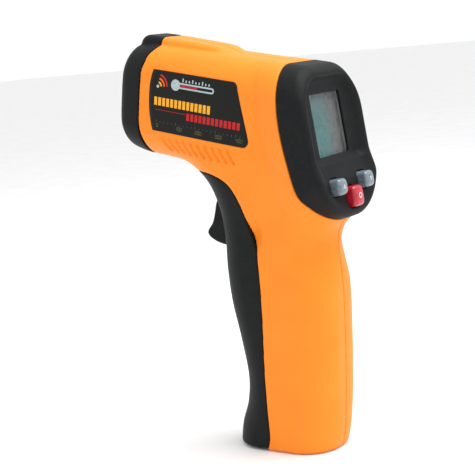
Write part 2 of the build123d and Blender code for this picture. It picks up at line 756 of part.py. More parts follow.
with BuildPart() as board_screws:
    with BuildSketch(FACE.offset(pcb_back)):
        with Locations(*board_bosses):
            Circle(BOSS_R)
    extrude(amount=-FLANGE_T)
    with BuildSketch(FACE.offset(pcb_back)):
        with Locations(*board_bosses):
            Circle(PCB_SCREW_R)
    extrude(amount=PCB_T + LCD_T)
board_screws.part.label = "board_screws"
export_step(board_screws.part, "parts/board_screws.step")

# ---------------------------------------------------------------------------
# Buttons: each cap has a flange behind the bezel and presses its own plunger
# ---------------------------------------------------------------------------
for name, (x, v, width, height) in button_places.items():
    with BuildPart() as button:
        with BuildSketch(FACE.offset(cap_under)):
            with Locations((x, v)):
                RectangleRounded(width, height, BUTTON_R)
        extrude(amount=BUTTON_PROUD - cap_under)
        fillet(button.faces().sort_by(Axis.X)[-1].edges(), BUTTON_R / 2)
        with BuildSketch(FACE.offset(cap_under)):
            with Locations((x, v)):
                RectangleRounded(width + 2 * FLANGE, height + 2 * FLANGE, BUTTON_R)
        extrude(amount=FLANGE_T)
    button.part.label = f"{name}_button"
    export_step(button.part, f"parts/{name}_button.step")

    with BuildPart() as plunger:
        with BuildSketch(FACE.offset(cap_under)):
            with Locations((x, v)):
                Circle(PLUNGER_R)
        extrude(amount=-(cap_under - switch_top + SWITCH_T - PLUNGER_SEAT - BUTTON_TRAVEL - SMALL))
    plunger.part.label = f"{name}_plunger"
    export_step(plunger.part, f"parts/{name}_plunger.step")

# ---------------------------------------------------------------------------
# Infrared sensor: tube, lens ring, lens, sensor can and its board
# ---------------------------------------------------------------------------
def sensor_disc(start, radius, length, bore=0.0):
    """A disc or ring on the sensor's axis, from a station along the barrel."""
    with BuildSketch(NOSE.offset(start)) as disc:
        with Locations((0, SENSOR_W)):
            Circle(radius)
            if bore:
                Circle(bore, mode=Mode.SUBTRACT)
    extrude(disc.sketch, amount=length)


tube_front = NOSE_FRONT + WALL * FRONT_WALL + SMALL
tube_length = TUBE_END - tube_front
with BuildPart() as sensor_tube:
    sensor_disc(tube_front, TUBE_R, tube_length, SHOULDER_R)
    with BuildSketch(NOSE.offset(tube_front)):
        with Locations((0, SENSOR_W)):
            Circle(TUBE_BORE_R)
    extrude(amount=LENS_Z + LENS_T - tube_front, mode=Mode.SUBTRACT)
    with BuildSketch(NOSE.offset(TUBE_END)):
        with Locations((0, SENSOR_W)):
            Circle(TUBE_R)
            Circle(CAN_R + FIT_GAP, mode=Mode.SUBTRACT)
    extrude(amount=-HOLDER_T)
sensor_tube.part.label = "sensor_tube"
export_step(sensor_tube.part, "parts/sensor_tube.step")

with BuildPart() as infrared_lens:
    sensor_disc(LENS_Z, LENS_R, LENS_T - PIN_SEAT)
infrared_lens.part.label = "infrared_lens"
export_step(infrared_lens.part, "parts/infrared_lens.step")

with BuildPart() as lens_ring:
    sensor_disc(LENS_Z - HOLDER_T, LENS_R, HOLDER_T, SHOULDER_R)
lens_ring.part.label = "lens_ring"
export_step(lens_ring.part, "parts/lens_ring.step")

with BuildPart() as sensor_can:
    sensor_disc(TUBE_END, CAN_R, -CAN_LENGTH)
    fillet(sensor_can.faces().sort_by(Axis.X)[0].edges(), 0.4)
sensor_can.part.label = "sensor_can"
export_step(sensor_can.part, "parts/sensor_can.step")

with BuildPart() as sensor_board:
    with BuildSketch(NOSE.offset(TUBE_END)):
        with Locations((0, SENSOR_W)):
            Rectangle(SENSOR_PCB_W, SENSOR_PCB_H)
    extrude(amount=PCB_T)
sensor_board.part.label = "sensor_board"
export_step(sensor_board.part, "parts/sensor_board.step")

# ---------------------------------------------------------------------------
# Laser pointer in the ridge
# ---------------------------------------------------------------------------
laser_front = RIDGE_FRONT + WALL + SMALL
with BuildPart() as laser_body:
    with BuildSketch(NOSE.offset(laser_front)):
        with Locations((0, LASER_W)):
            Circle(LASER_R)
    extrude(amount=LASER_LENGTH)
    with BuildSketch(NOSE.offset(laser_front)):
        with Locations((0, LASER_W)):
            Circle(LASER_HOLE_R)
    extrude(amount=LASER_LENGTH / 3, mode=Mode.SUBTRACT)
laser_body.part.label = "laser_body"
export_step(laser_body.part, "parts/laser_body.step")

with BuildPart() as laser_lens:
    with BuildSketch(NOSE.offset(laser_front + LASER_LENS_T)):
        with Locations((0, LASER_W)):
            Circle(LASER_HOLE_R - PIN_SEAT)
    extrude(amount=LASER_LENS_T)
laser_lens.part.label = "laser_lens"
export_step(laser_lens.part, "parts/laser_lens.step")

# ---------------------------------------------------------------------------
# Battery holder, two cells, springs and contact plates
# ---------------------------------------------------------------------------
floor_z = HOLDER_Z + HOLDER_T
cell_zone = PLATE_T + SPRING_H + CELL_LENGTH + PLATE_T + CONTACT_GAP
roof_z = floor_z + cell_zone
holder_half = CELL_Y + CELL_R + CELL_GAP
holder_back = CELL_X + CELL_R + FIT_GAP
with BuildPart() as battery_holder:
    with BuildSketch(Plane.XY.offset(HOLDER_Z)):
        with Locations((holder_back + HOLDER_T - (CELL_R + holder_back + HOLDER_T) / 2, 0)):
            Rectangle(CELL_R + holder_back + HOLDER_T, 2 * (holder_half + HOLDER_T))
    extrude(amount=cell_zone + 2 * HOLDER_T)
    with BuildSketch(Plane.XY.offset(floor_z)):
        with Locations((holder_back - BIG / 2, 0)):
            Rectangle(BIG, 2 * holder_half)
    extrude(amount=cell_zone, mode=Mode.SUBTRACT)
battery_holder.part.label = "battery_holder"
export_step(battery_holder.part, "parts/battery_holder.step")

# The left cell stands nub up and the right cell nub down
for name, side in (("left", -1), ("right", 1)):
    cell_plane = Plane((CELL_X, side * CELL_Y, floor_z + PLATE_T + SPRING_H))
    if side > 0:
        cell_plane = Plane(
            (CELL_X, side * CELL_Y, roof_z - PLATE_T - SPRING_H), x_dir=(1, 0, 0), z_dir=(0, 0, -1)
        )
    with BuildPart() as cell:
        with BuildSketch(cell_plane):
            Circle(CELL_R)
        extrude(amount=CELL_LENGTH - NUB_H)
        fillet(cell.edges(), CELL_EDGE)
        with BuildSketch(cell_plane.offset(CELL_LENGTH - NUB_H - NUB_ROOT)):
            Circle(NUB_R)
        extrude(amount=NUB_H + NUB_ROOT)
    cell.part.label = f"aaa_cell_{name}"
    export_step(cell.part, f"parts/aaa_cell_{name}.step")

    # Spring from the plate to the cell's flat end
    spring_height = SPRING_H - 2 * (WIRE_R + SMALL)
    with BuildPart() as cell_spring:
        with BuildLine() as coil:
            Helix(
                pitch=spring_height / CELL_TURNS, height=spring_height, radius=CELL_R - 2,
                center=cell_plane.offset(-SPRING_H + WIRE_R + SMALL).origin, direction=cell_plane.z_dir,
            )
        with BuildSketch(Plane(coil.line @ 0, z_dir=coil.line % 0)) as wire:
            Circle(WIRE_R)
        sweep(wire.sketch, path=coil.line, is_frenet=True)
    cell_spring.part.label = f"cell_spring_{name}"
    export_step(cell_spring.part, f"parts/cell_spring_{name}.step")

with BuildPart() as contact_plates:
    for z in (floor_z, roof_z - PLATE_T):
        with BuildSketch(Plane.XY.offset(z)):
            with Locations((CELL_X, -CELL_Y), (CELL_X, CELL_Y)):
                Rectangle(2 * CELL_R - 2, 2 * CELL_R - 2)
        extrude(amount=PLATE_T)
contact_plates.part.label = "contact_plates"
export_step(contact_plates.part, "parts/contact_plates.step")

# ---------------------------------------------------------------------------
# Leads: two from the battery holder, one to the laser, one flat sensor ribbon
# ---------------------------------------------------------------------------
for name, side in (("black", -1), ("red", 1)):
    board_end = FACE.from_local_coords((side * 6, -22, pcb_back))
    route = [
        (5, side * 9, roof_z + HOLDER_T), (5, side * 9, roof_z + 7), (9.5, side * 8.5, roof_z + 13),
        (9.5, side * 7, board_end.Z - 6), (13, side * 6, board_end.Z - 0.5), tuple(board_end),
    ]
    with BuildPart() as lead:
        with BuildLine() as path:
            FilletPolyline(*route, radius=2.6)
        with BuildSketch(Plane(path.line @ 0, z_dir=path.line % 0)) as section:
            Circle(LEAD_R)
        sweep(section.sketch, path=path.line)
    lead.part.label = f"battery_lead_{name}"
    export_step(lead.part, f"parts/battery_lead_{name}.step")

laser_land = FACE.from_local_coords((-8, 13.5, pcb_back))
laser_rise = FACE.from_local_coords((-8, 13.5, pcb_back - 5))
laser_route = [BARREL.from_local_coords(place) for place in (
    (laser_front + LASER_LENGTH, LASER_W, 0), (-20, LASER_W, 0), (-8, LASER_W - 0.4, 2.5),
    (10, LASER_W - 2.4, 6),
)]
with BuildPart() as laser_lead:
    with BuildLine() as path:
        FilletPolyline(*[tuple(place) for place in (*laser_route, laser_rise, laser_land)], radius=2)
    with BuildSketch(Plane(path.line @ 0, z_dir=path.line % 0)) as section:
        Circle(LEAD_R)
    sweep(section.sketch, path=path.line)
laser_lead.part.label = "laser_lead"
export_step(laser_lead.part, "parts/laser_lead.step")

ribbon_start = TUBE_END + PCB_T
ribbon_end = BARREL.to_local_coords(FACE.from_local_coords((0, -2, pcb_back)))
with BuildPart() as sensor_ribbon:
    with BuildSketch(BARREL):
        with BuildLine():
            upper = ThreePointArc(
                (ribbon_start, SENSOR_W), ((ribbon_start + ribbon_end.X) / 2, SENSOR_W - 4),
                (ribbon_end.X, ribbon_end.Y),
            )
            lower = ThreePointArc(
                (ribbon_start, SENSOR_W - PLATE_T),
                ((ribbon_start + ribbon_end.X) / 2, SENSOR_W - 4 - PLATE_T),
                (ribbon_end.X, ribbon_end.Y - PLATE_T),
            )
            Line(upper @ 0, lower @ 0)
            Line(upper @ 1, lower @ 1)
        make_face()
    extrude(amount=3.5, both=True)
    with BuildSketch(FACE.offset(pcb_back)):
        Rectangle(2 * BIG, 2 * BIG)
    extrude(amount=BIG, mode=Mode.SUBTRACT)
sensor_ribbon.part.label = "sensor_ribbon"
export_step(sensor_ribbon.part, "parts/sensor_ribbon.step")

# ---------------------------------------------------------------------------
# Side labels: thin plates that follow the barrel's flanks
# ---------------------------------------------------------------------------
for name, side in (("left", 1), ("right", -1)):
    with BuildPart() as label:
        barrel_loft(-LABEL_T)
        with BuildSketch(BARREL):
            with BuildLine():
                top_edge = Line((LABEL_TOP_U[0], LABEL_W[1]), (LABEL_TOP_U[1], LABEL_W[1]))
                rear_edge = Line(top_edge @ 1, (LABEL_LOW_U[1], LABEL_W[0]))
                low_edge = Line(rear_edge @ 1, (LABEL_LOW_U[0], LABEL_W[0]))
                ThreePointArc(low_edge @ 1, (LABEL_BOW_U, sum(LABEL_W) / 2), top_edge @ 0)
            make_face()
        extrude(amount=side * BIG, mode=Mode.INTERSECT)
        add(outer_form.part, mode=Mode.SUBTRACT)
    label.part.label = f"{name}_label"
    export_step(label.part, f"parts/{name}_label.step")

# ---------------------------------------------------------------------------
# Housing screws, all driven from the right
# ---------------------------------------------------------------------------
with BuildPart() as housing_screws:
    with BuildSketch(SIDE.offset(-SCREW_HEAD_Y)):
        with Locations(*screw_places):
            Circle(SCREW_HEAD_R)
    extrude(amount=-SCREW_HEAD_T)
    with BuildSketch(SIDE.offset(-SCREW_HEAD_Y)):
        with Locations(*screw_places):
            Circle(SCREW_R)
    extrude(amount=SCREW_HEAD_Y + SCREW_REACH)
    with BuildSketch(SIDE.offset(-SCREW_HEAD_Y - SCREW_HEAD_T)):
        with Locations(*screw_places):
            Rectangle(*DRIVE_SLOT)
            Rectangle(*reversed(DRIVE_SLOT))
    extrude(amount=DRIVE_DEPTH, mode=Mode.SUBTRACT)
housing_screws.part.label = "housing_screws"
export_step(housing_screws.part, "parts/housing_screws.step")
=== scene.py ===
import bpy
import math

import numpy as np
import openvdb
from mathutils import Matrix, Vector


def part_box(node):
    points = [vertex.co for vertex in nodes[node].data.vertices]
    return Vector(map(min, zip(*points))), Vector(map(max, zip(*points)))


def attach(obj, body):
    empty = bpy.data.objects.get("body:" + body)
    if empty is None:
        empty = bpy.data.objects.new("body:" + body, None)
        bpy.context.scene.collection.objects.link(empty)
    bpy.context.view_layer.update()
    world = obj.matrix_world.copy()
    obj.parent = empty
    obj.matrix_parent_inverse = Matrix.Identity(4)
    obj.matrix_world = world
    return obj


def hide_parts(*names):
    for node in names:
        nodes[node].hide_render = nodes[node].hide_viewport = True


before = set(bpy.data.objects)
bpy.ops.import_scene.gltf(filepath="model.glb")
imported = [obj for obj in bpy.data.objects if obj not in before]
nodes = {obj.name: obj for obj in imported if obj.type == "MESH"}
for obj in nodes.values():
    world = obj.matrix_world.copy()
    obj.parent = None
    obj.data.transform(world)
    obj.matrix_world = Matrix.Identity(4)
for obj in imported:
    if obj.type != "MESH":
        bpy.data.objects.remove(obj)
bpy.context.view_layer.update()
MM = 0.001


# Camera: a long lens level with the trigger, behind the instrument's left
# shoulder, so the label, the display and the front of the grip all show.
camera_place = Vector((0.24007, -0.36709, 0.15602))
camera_turn = math.radians(35.063)
camera_height = math.radians(9.630)
camera_roll = math.radians(-5.741)
camera_data = bpy.data.cameras.new("camera")
camera_data.sensor_width = 36.0
camera_data.lens = 89.43
camera = bpy.data.objects.new("camera", camera_data)
camera.matrix_world = (
    Matrix.Translation(camera_place)
    @ Matrix.Rotation(camera_turn, 4, "Z")
    @ Matrix.Rotation(math.pi / 2 - camera_height, 4, "X")
    @ Matrix.Rotation(camera_roll, 4, "Z")
)
bpy.context.collection.objects.link(camera)
bpy.context.scene.camera = camera
bpy.context.scene.view_settings.view_transform = "Standard"


# Studio: a pale floor that runs off into a pale surround, one broad soft
# light overhead and a weaker one on each side.
class Finish:
    """One material, built up from procedural texture nodes in object space."""

    def __init__(self, name, roughness=0.5, **sockets):
        self.material = bpy.data.materials.new(name)
        self.material.use_nodes = True
        self.tree = self.material.node_tree
        self.shader = self.tree.nodes["Principled BSDF"]
        self.shader.inputs["Roughness"].default_value = roughness
        for socket, value in sockets.items():
            self.shader.inputs[socket.replace("_", " ")].default_value = value
        self.place = self.tree.nodes.new("ShaderNodeTexCoord").outputs["Object"]
        self.height = None

    def node(self, kind, **inputs):
        made = self.tree.nodes.new("ShaderNode" + kind)
        for socket, value in inputs.items():
            self.feed(made.inputs[socket], value)
        return made

    def feed(self, socket, value):
        if isinstance(value, bpy.types.NodeSocket):
            self.tree.links.new(value, socket)
        else:
            socket.default_value = value

    def sum(self, operation, a, b=0.0, clamp=False):
        made = self.tree.nodes.new("ShaderNodeMath")
        made.operation = operation
        made.use_clamp = clamp
        self.feed(made.inputs[0], a)
        self.feed(made.inputs[1], b)
        return made.outputs[0]

    def noise(self, grain, detail=2.0, stretch=(1, 1, 1)):
        """Mottle whose features are about grain metres across."""
        scaled = self.node("Mapping", Vector=self.place, Scale=stretch)
        return self.node(
            "TexNoise", Vector=scaled.outputs[0], Scale=1 / grain, Detail=detail
        ).outputs["Fac"]

    def axis(self, letter):
        return self.node("SeparateXYZ", Vector=self.place).outputs[letter]

    def ramp(self, value, stops):
        """Colours at positions along a value from 0 to 1."""
        made = self.node("ValToRGB", Fac=value)
        elements = made.color_ramp.elements
        while len(elements) < len(stops):
            elements.new(0.5)
        for element, (position, colour) in zip(elements, stops):
            element.position = position
            element.color = (*colour, 1)
        return made.outputs["Color"]

    def mix(self, share, first, second, blend="MIX"):
        made = self.tree.nodes.new("ShaderNodeMix")
        made.data_type = "RGBA"
        made.blend_type = blend
        colours = [socket for socket in made.inputs if socket.type == "RGBA"]
        self.feed(made.inputs[0], share)
        self.feed(colours[0], first if isinstance(first, bpy.types.NodeSocket) else (*first, 1))
        self.feed(colours[1], second if isinstance(second, bpy.types.NodeSocket) else (*second, 1))
        return next(socket for socket in made.outputs if socket.type == "RGBA")

    def colour(self, value):
        self.feed(self.shader.inputs["Base Color"], value)
        return self

    def stretch(self, value, low, high, start=0.0, end=1.0):
        """A value carried from the range low to high onto start to end."""
        made = self.node("MapRange", Value=value)
        for socket, limit in (("From Min", low), ("From Max", high), ("To Min", start), ("To Max", end)):
            made.inputs[socket].default_value = limit
        return made.outputs[0]

    def rough(self, value, low, high):
        """Roughness that wanders between two values."""
        self.feed(self.shader.inputs["Roughness"], self.stretch(value, 0.3, 0.7, low, high))
        return self

    def bump(self, value, depth):
        """Relief of about depth metres, laid over any relief already there."""
        made = self.node("Bump", Height=value, Distance=depth)
        made.inputs["Strength"].default_value = 1.0
        if self.height is not None:
            self.feed(made.inputs["Normal"], self.height)
        self.height = made.outputs[0]
        self.feed(self.shader.inputs["Normal"], self.height)
        return self


floor_finish = Finish("pale_floor", 0.75)
floor_finish.colour(floor_finish.ramp(
    floor_finish.noise(0.03), [(0.3, (0.86, 0.86, 0.86)), (0.7, (0.90, 0.90, 0.90))]
))
floor_reach = 6.0
floor_mesh = bpy.data.meshes.new("floor")
floor_mesh.from_pydata(
    [(-floor_reach, -floor_reach, 0), (floor_reach, -floor_reach, 0),
     (floor_reach, floor_reach, 0), (-floor_reach, floor_reach, 0)],
    [], [(0, 1, 2, 3)],
)
floor_mesh.materials.append(floor_finish.material)
floor = bpy.data.objects.new("floor", floor_mesh)
bpy.context.collection.objects.link(floor)

world = bpy.data.worlds.new("studio")
bpy.context.scene.world = world
world.use_nodes = True
world.node_tree.nodes["Background"].inputs["Color"].default_value = (1, 1, 1, 1)
world.node_tree.nodes["Background"].inputs["Strength"].default_value = 1.0


def soft_light(name, place, size, power):
    """A square area light aimed at the middle of the instrument."""
    light = bpy.data.lights.new(name, "AREA")
    light.size = size
    light.energy = power
    lamp = bpy.data.objects.new(name, light)
    lamp.location = place
    aim = Vector((0, 0, 0.09)) - Vector(place)
    lamp.rotation_euler = aim.to_track_quat("-Z", "Y").to_euler()
    bpy.context.collection.objects.link(lamp)


soft_light("key_light", (0.25, 0.1, 0.72), 0.5, 5.4)
soft_light("rear_light", (0.75, -0.1, 0.4), 0.5, 0.5)
soft_light("nose_light", (-0.7, -0.3, 0.3), 0.5, 0.3)


# Housing form: the moulded outside that the shells, cap, bezel and door share.
# Its side view is one outline, given a width at each place, rounded over to
# the flanks and then cut along the mould's parting lines.
PITCH = math.radians(11.0)
HEAD = (-8.2, 128.0)
FACE = (31.26, 120.33)
LEAN = math.radians(6.17)
BARREL_TOP = 21.7
BARREL_BOTTOM = -21.0
NOSE_FRONT = -49.3
NOSE_SEAM = -36.0
WALL = 2.0
SEAM = 0.15
GRIP_HALF = 15.4
BASE_DRAW = 0.9
BARREL_HALF = 17.3
BARREL_SWELL = 0.9
FLARE_DEPTH = 2.7
FLARE_REACH = 9.8
FLARE_STEP = 0.5
NOSE_DRAW = 1.5
FLANK_ROUND = 11.6
CHIN = (34.0, 87.0)
CHIN_ROUND = 5.4


def barrel(u, w):
    """Side-view place of a point given along and across the pitched barrel."""
    return (
        HEAD[0] + u * math.cos(PITCH) + w * math.sin(PITCH),
        HEAD[1] - u * math.sin(PITCH) + w * math.cos(PITCH),
    )


def smooth_curve(points, steps=10):
    """Points along a smooth curve through the given ones."""
    run = [points[0], *points, points[-1]]
    curve = []
    for a, b, c, d in zip(run, run[1:], run[2:], run[3:]):
        for step in range(steps):
            t = step / steps
            curve.append(tuple(
                0.5 * (2 * q + (r - p) * t + (2 * p - 5 * q + 4 * r - s) * t * t
                       + (3 * q - p - 3 * r + s) * t ** 3)
                for p, q, r, s in zip(a, b, c, d)
            ))
    curve.append(tuple(points[-1]))
    return curve


def arc(centre, radius, start, end, steps=12):
    """Points along an arc, angles in degrees."""
    angles = [math.radians(start + (end - start) * i / steps) for i in range(steps + 1)]
    return [(centre[0] + radius * math.cos(a), centre[1] + radius * math.sin(a)) for a in angles]


grip_rear = smooth_curve([
    (54.8, 90.6), (34.0, 88.6), (29.4, 86.0), (27.2, 81.0), (27.2, 72), (27.3, 58),
    (26.4, 42), (25.1, 25), (23.3, 9), (21.3, 0), (18.8, -12),
])
grip_front = smooth_curve([
    (-22.6, -10), (-20.9, 2), (-19.2, 9.5), (-15.7, 18), (-14.2, 28), (-15.8, 42), (-18.3, 57),
    (-18.9, 70), (-18.4, 82), (-19.4, 93), (-22.7, 102.5), (-30.0, 109.6), barrel(-27, BARREL_BOTTOM),
    barrel(-40, BARREL_BOTTOM), barrel(-70, BARREL_BOTTOM),
])
body_outline = [
    barrel(-70, BARREL_TOP), barrel(75, BARREL_TOP), (66, 92), *grip_rear, *grip_front,
]
bezel_region = [
    *smooth_curve([
        barrel(18.5, 32), barrel(22.2, 21.7), barrel(24.7, 13.6), barrel(28.6, -2.5), barrel(36.2, -20.6),
        barrel(40.8, -26.6), barrel(47, -33),
    ]),
    (80, 80), (80, 160),
]
hinge = (-15.2, 7.6)
heel_radius = 13.4
door_region = [
    (-60, 108.6), *smooth_curve([
        (-40, 108.6), (-24, 107.8), (-15, 106.6), (-8.2, 103.0), (-4.4, 96.5), (-1.6, 87),
        (0.6, 77), (0.5, 56),
        (-1.0, 31.5), (hinge[0] + heel_radius, 9.5),
    ]),
    *arc(hinge, heel_radius, 0, -45), (-60, -3),
]
ridge_outline = [
    *[barrel(u, w) for u, w in arc((-41.6, 20.2), 4.2, 180, 100)],
    *smooth_curve([
        barrel(-38, 24.4), barrel(-25, 24.1), barrel(-12, 23.6), barrel(-6.0, 22.4), barrel(-1.5, 20.4),
    ]),
    barrel(-1.5, 15), barrel(-45.8, 15),
]
ridge_half = 7.8
ridge_end = -1.6


def side_distance(outline, x, z):
    """Signed distance from side-view points to a closed outline, inside below zero."""
    x, z = np.broadcast_arrays(x, z)
    nearest = np.full(x.shape, 1e9, dtype=np.float32)
    inside = np.zeros(x.shape, dtype=bool)
    for (ax, az), (bx, bz) in zip(outline, outline[1:] + outline[:1]):
        ex, ez = bx - ax, bz - az
        length = ex * ex + ez * ez
        if length == 0:
            continue
        along = np.clip(((x - ax) * ex + (z - az) * ez) / length, 0, 1)
        nearest = np.minimum(nearest, (x - ax - along * ex) ** 2 + (z - az - along * ez) ** 2)
        if ez != 0:
            inside ^= ((az > z) != (bz > z)) & (x < ax + (z - az) * ex / ez)
    return np.where(inside, -1, 1) * np.sqrt(nearest)


def ease(value, low, high):
    """0 below low, 1 above high, and smooth between."""
    t = np.clip((value - low) / (high - low), 0, 1)
    return t * t * (3 - 2 * t)


def round_cut(a, b, radius):
    """Both fields at once, with the edge where they meet rounded."""
    return (
        np.minimum(np.maximum(a, b), -radius)
        + np.sqrt(np.maximum(a + radius, 0) ** 2 + np.maximum(b + radius, 0) ** 2)
    )


def soft_union(a, b, blend):
    """Either field, with the hollow where they meet filled over a blend width."""
    h = np.maximum(blend - np.abs(a - b), 0) / blend
    return np.minimum(a, b) - h * h * blend / 4


def surface_quads(field, limit):
    """Points, in sample steps, and quads where a field crosses zero."""
    grid = openvdb.FloatGrid(limit)
    grid.copyFromArray(np.ascontiguousarray(np.clip(field, -limit, limit), dtype=np.float32))
    return grid.convertToQuads(0.0)


def rounded(a, b, corner):
    """Distance to a rounded opening, from places past its corners' centres."""
    return np.minimum(np.maximum(a, b), 0) + np.hypot(np.maximum(a, 0), np.maximum(b, 0)) - corner


class Block:
    """A box of sample points around one piece, with the housing's side-view fields."""

    def __init__(self, low, high, spacing=0.4):
        self.low = low
        self.spacing = spacing
        x, y, z = (np.arange(a, b, spacing, dtype=np.float32) for a, b in zip(low, high))
        self.x, self.y, self.z = x[:, None, None], y[None, :, None], z[None, None, :]
        dx, dz = self.x - HEAD[0], self.z - HEAD[1]
        self.u = dx * math.cos(PITCH) - dz * math.sin(PITCH)
        self.w = dx * math.sin(PITCH) + dz * math.cos(PITCH)
        dx, dz = self.x - FACE[0], self.z - FACE[1]
        self.n = dx * math.cos(LEAN) + dz * math.sin(LEAN)
        self.v = -dx * math.sin(LEAN) + dz * math.cos(LEAN)
        self.bezel = self.from_outline(bezel_region)
        self.door = self.from_outline(door_region)
        self.cap = NOSE_SEAM - self.u - 1.3 + 1.3 * ease(-self.w, 8, 20)
        self.cap = self.cap + 0.6 * ease(self.w, 12, 16) + 1.6 * ease(self.w, 17, 21.5)
        self.nose_draw = NOSE_DRAW * np.clip((NOSE_SEAM - self.u) / 12, 0, 1.3) ** 1.6
        self.side = self.from_outline(body_outline) + self.nose_draw
        self.ridge = self.from_outline(ridge_outline)
        flare = FLARE_DEPTH * np.clip(1 - self.bezel / FLARE_REACH, 0, 1)
        flare = flare + FLARE_STEP * ease(FLARE_REACH - self.bezel, 0, 1.3)
        flare = flare * (1 - 0.35 * ease(self.w, 4, 22)) * ease(self.z, 70, 92)
        grip_half = GRIP_HALF - BASE_DRAW * (1 - ease(self.z, 0, 26))
        barrel_half = BARREL_HALF + BARREL_SWELL * ease(self.u, -36, 10)
        self.half = grip_half + (barrel_half - grip_half) * ease(self.z + 0.35 * self.x, 82, 112)
        self.half = self.half + flare - 0.7 * (1 - ease(-self.side, 2, 17)) - self.nose_draw
        chin = np.sqrt((self.x - CHIN[0]) ** 2 + (self.z - CHIN[1]) ** 2)
        self.corner = FLANK_ROUND + CHIN_ROUND * (1 - ease(chin, 10, 26)) + 0.6 * (1 - ease(self.z, 60, 100))

    def from_outline(self, outline):
        return side_distance(outline, self.x, self.z)

    def from_rod(self, place, radius):
        """Distance to a rod across the housing, at a side-view place."""
        return np.sqrt((self.x - place[0]) ** 2 + (self.z - place[1]) ** 2) - radius

    def from_bore(self, w, radius):
        """Distance to a rod along the barrel, at a height across it."""
        return np.sqrt(self.y ** 2 + (self.w - w) ** 2) - radius

    def form(self, inset=0.0):
        """Distance to the outside of the housing before its details are cut."""
        r = np.maximum(self.corner - inset, 1.0)
        d = round_cut(self.side + inset, np.abs(self.y) - self.half + inset, r)
        past = self.u - ridge_end + ridge_half
        beside = np.abs(self.y)
        plan = np.where(past > 0, np.hypot(past, beside), beside) - ridge_half
        ridge = round_cut(self.ridge + inset, plan + inset, 2.8)
        d = soft_union(d, ridge, 0.8)
        d = round_cut(d, NOSE_FRONT - self.u + inset * 1.1, max(5.0 - inset, 1.0))
        return round_cut(d, inset - self.z, max(1.8 - inset, 0.4))

    def mesh(self, name, field, smooth=2):
        """A closed mesh of quads where a field crosses zero, in metres."""
        points, quads = surface_quads(field, 4.0)
        points = points * self.spacing + np.array(self.low)
        corners = points[quads]
        normal = np.cross(corners[:, 2] - corners[:, 0], corners[:, 3] - corners[:, 1])
        if np.sum(normal * corners.mean(axis=1)) < 0:
            quads = quads[:, ::-1]
        return new_piece(name, points * MM, quads, smooth)


def new_piece(name, points, faces, smooth=0):
    """A smooth-shaded object from points in metres and faces."""
    mesh = bpy.data.meshes.new(name)
    mesh.from_pydata(points, [], faces)
    mesh.polygons.foreach_set("use_smooth", np.ones(len(mesh.polygons), dtype=bool))
    piece = bpy.data.objects.new(name, mesh)
    bpy.context.collection.objects.link(piece)
    if smooth:
        relax = piece.modifiers.new("relax", "SMOOTH")
        relax.factor = 0.5
        relax.iterations = smooth
    return piece


def fit_out(piece, body, finish, slot, *stands_for):
    """Gives a piece its finish and its body, and hides the CAD nodes it stands for; the slot argument is not
    used.
    """
    piece.data.materials.append(finish.material)
    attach(piece, body)
    if stands_for:
        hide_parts(*stands_for)


# Shells: left and right halves in bright orange plastic with a soft matte
# skin, screwed together from the right. Each has its label recess, ten cooling
# slots under it, a finger scoop by the door and inner bosses for the screws.
orange_finish = Finish("orange_shell", 0.46, Specular_IOR_Level=0.2)
orange_cloud = orange_finish.noise(0.014, 3)
orange_finish.colour(orange_finish.ramp(
    orange_cloud, [(0.25, (0.87, 0.225, 0.013)), (0.55, (0.895, 0.24, 0.016)), (0.8, (0.91, 0.255, 0.020))]
))
orange_finish.rough(orange_finish.noise(0.004, 4), 0.42, 0.52)
orange_finish.bump(orange_finish.noise(0.00045, 3), 0.000018)
orange_finish.bump(orange_finish.noise(0.006, 1), 0.00006)

label_outline = [
    *smooth_curve([(-30.4, -9.5), (-31.9, -3.0), (-32.4, 3.0), (-32.2, 8.5), (-31.4, 13.4)], 6),
    (6.7, 13.4), (14.6, -9.5),
]
slot_first = ((-25.9, -11.8), (-22.8, -16.3))
slot_last = ((4.7, -11.7), (8.1, -16.0))
slot_count = 10
screw_places = [(17.5, 10), (19.8, 72), (-9.2, 137.8), (5.2, 113)]
screw_boss = 3.2
screw_well = 2.75
screw_seat = 10.4
pivot = (-12.5, 111.5)
scoop = (0.7, 15.4, 84.0)
swing = math.radians(60)
knuckle = 2.4
tongue_half = 6.0


def shrunk(outline, inset):
    """The corners of a convex outline moved inward by an inset."""
    centre = np.mean(outline, axis=0)
    moved = []
    for (ax, az), (bx, bz), (cx, cz) in zip(outline[-1:] + outline[:-1], outline, outline[1:] + outline[:1]):
        before = np.array((az - bz, bx - ax)) / max(math.hypot(bx - ax, bz - az), 1e-6)
        after = np.array((bz - cz, cx - bx)) / max(math.hypot(cx - bx, cz - bz), 1e-6)
        if np.dot(before, centre - (bx, bz)) < 0:
            before, after = -before, -after
        moved.append(tuple(np.array((bx, bz)) + (before + after) * inset / (1 + np.dot(before, after))))
    return moved


label_corner = 2.4
label_core = shrunk(label_outline, label_corner)


def label_distance(u, w):
    """Distance from the label's rounded edge, in the barrel's axes."""
    return side_distance(label_core, u, w) - label_corner


def slot_distance(u, w):
    """Distance to the nearest of the ten slanted slots, each bowed a little."""
    nearest = np.full(np.broadcast(u, w).shape, 1e3, dtype=np.float32)
    for i in range(slot_count):
        share = i / (slot_count - 1)
        (tu, tw), (bu, bw) = (
            [a + (b - a) * share for a, b in zip(first, last)] for first, last in zip(slot_first, slot_last)
        )
        middle = ((tu + bu) / 2 - 0.45, (tw + bw) / 2)
        line = [(tu, tw), middle, (bu, bw)]
        for (au, aw), (cu, cw) in zip(line, line[1:]):
            eu, ew = cu - au, cw - aw
            along = np.clip(((u - au) * eu + (w - aw) * ew) / (eu * eu + ew * ew), 0, 1)
            nearest = np.minimum(nearest, np.hypot(u - au - along * eu, w - aw - along * ew))
    return nearest


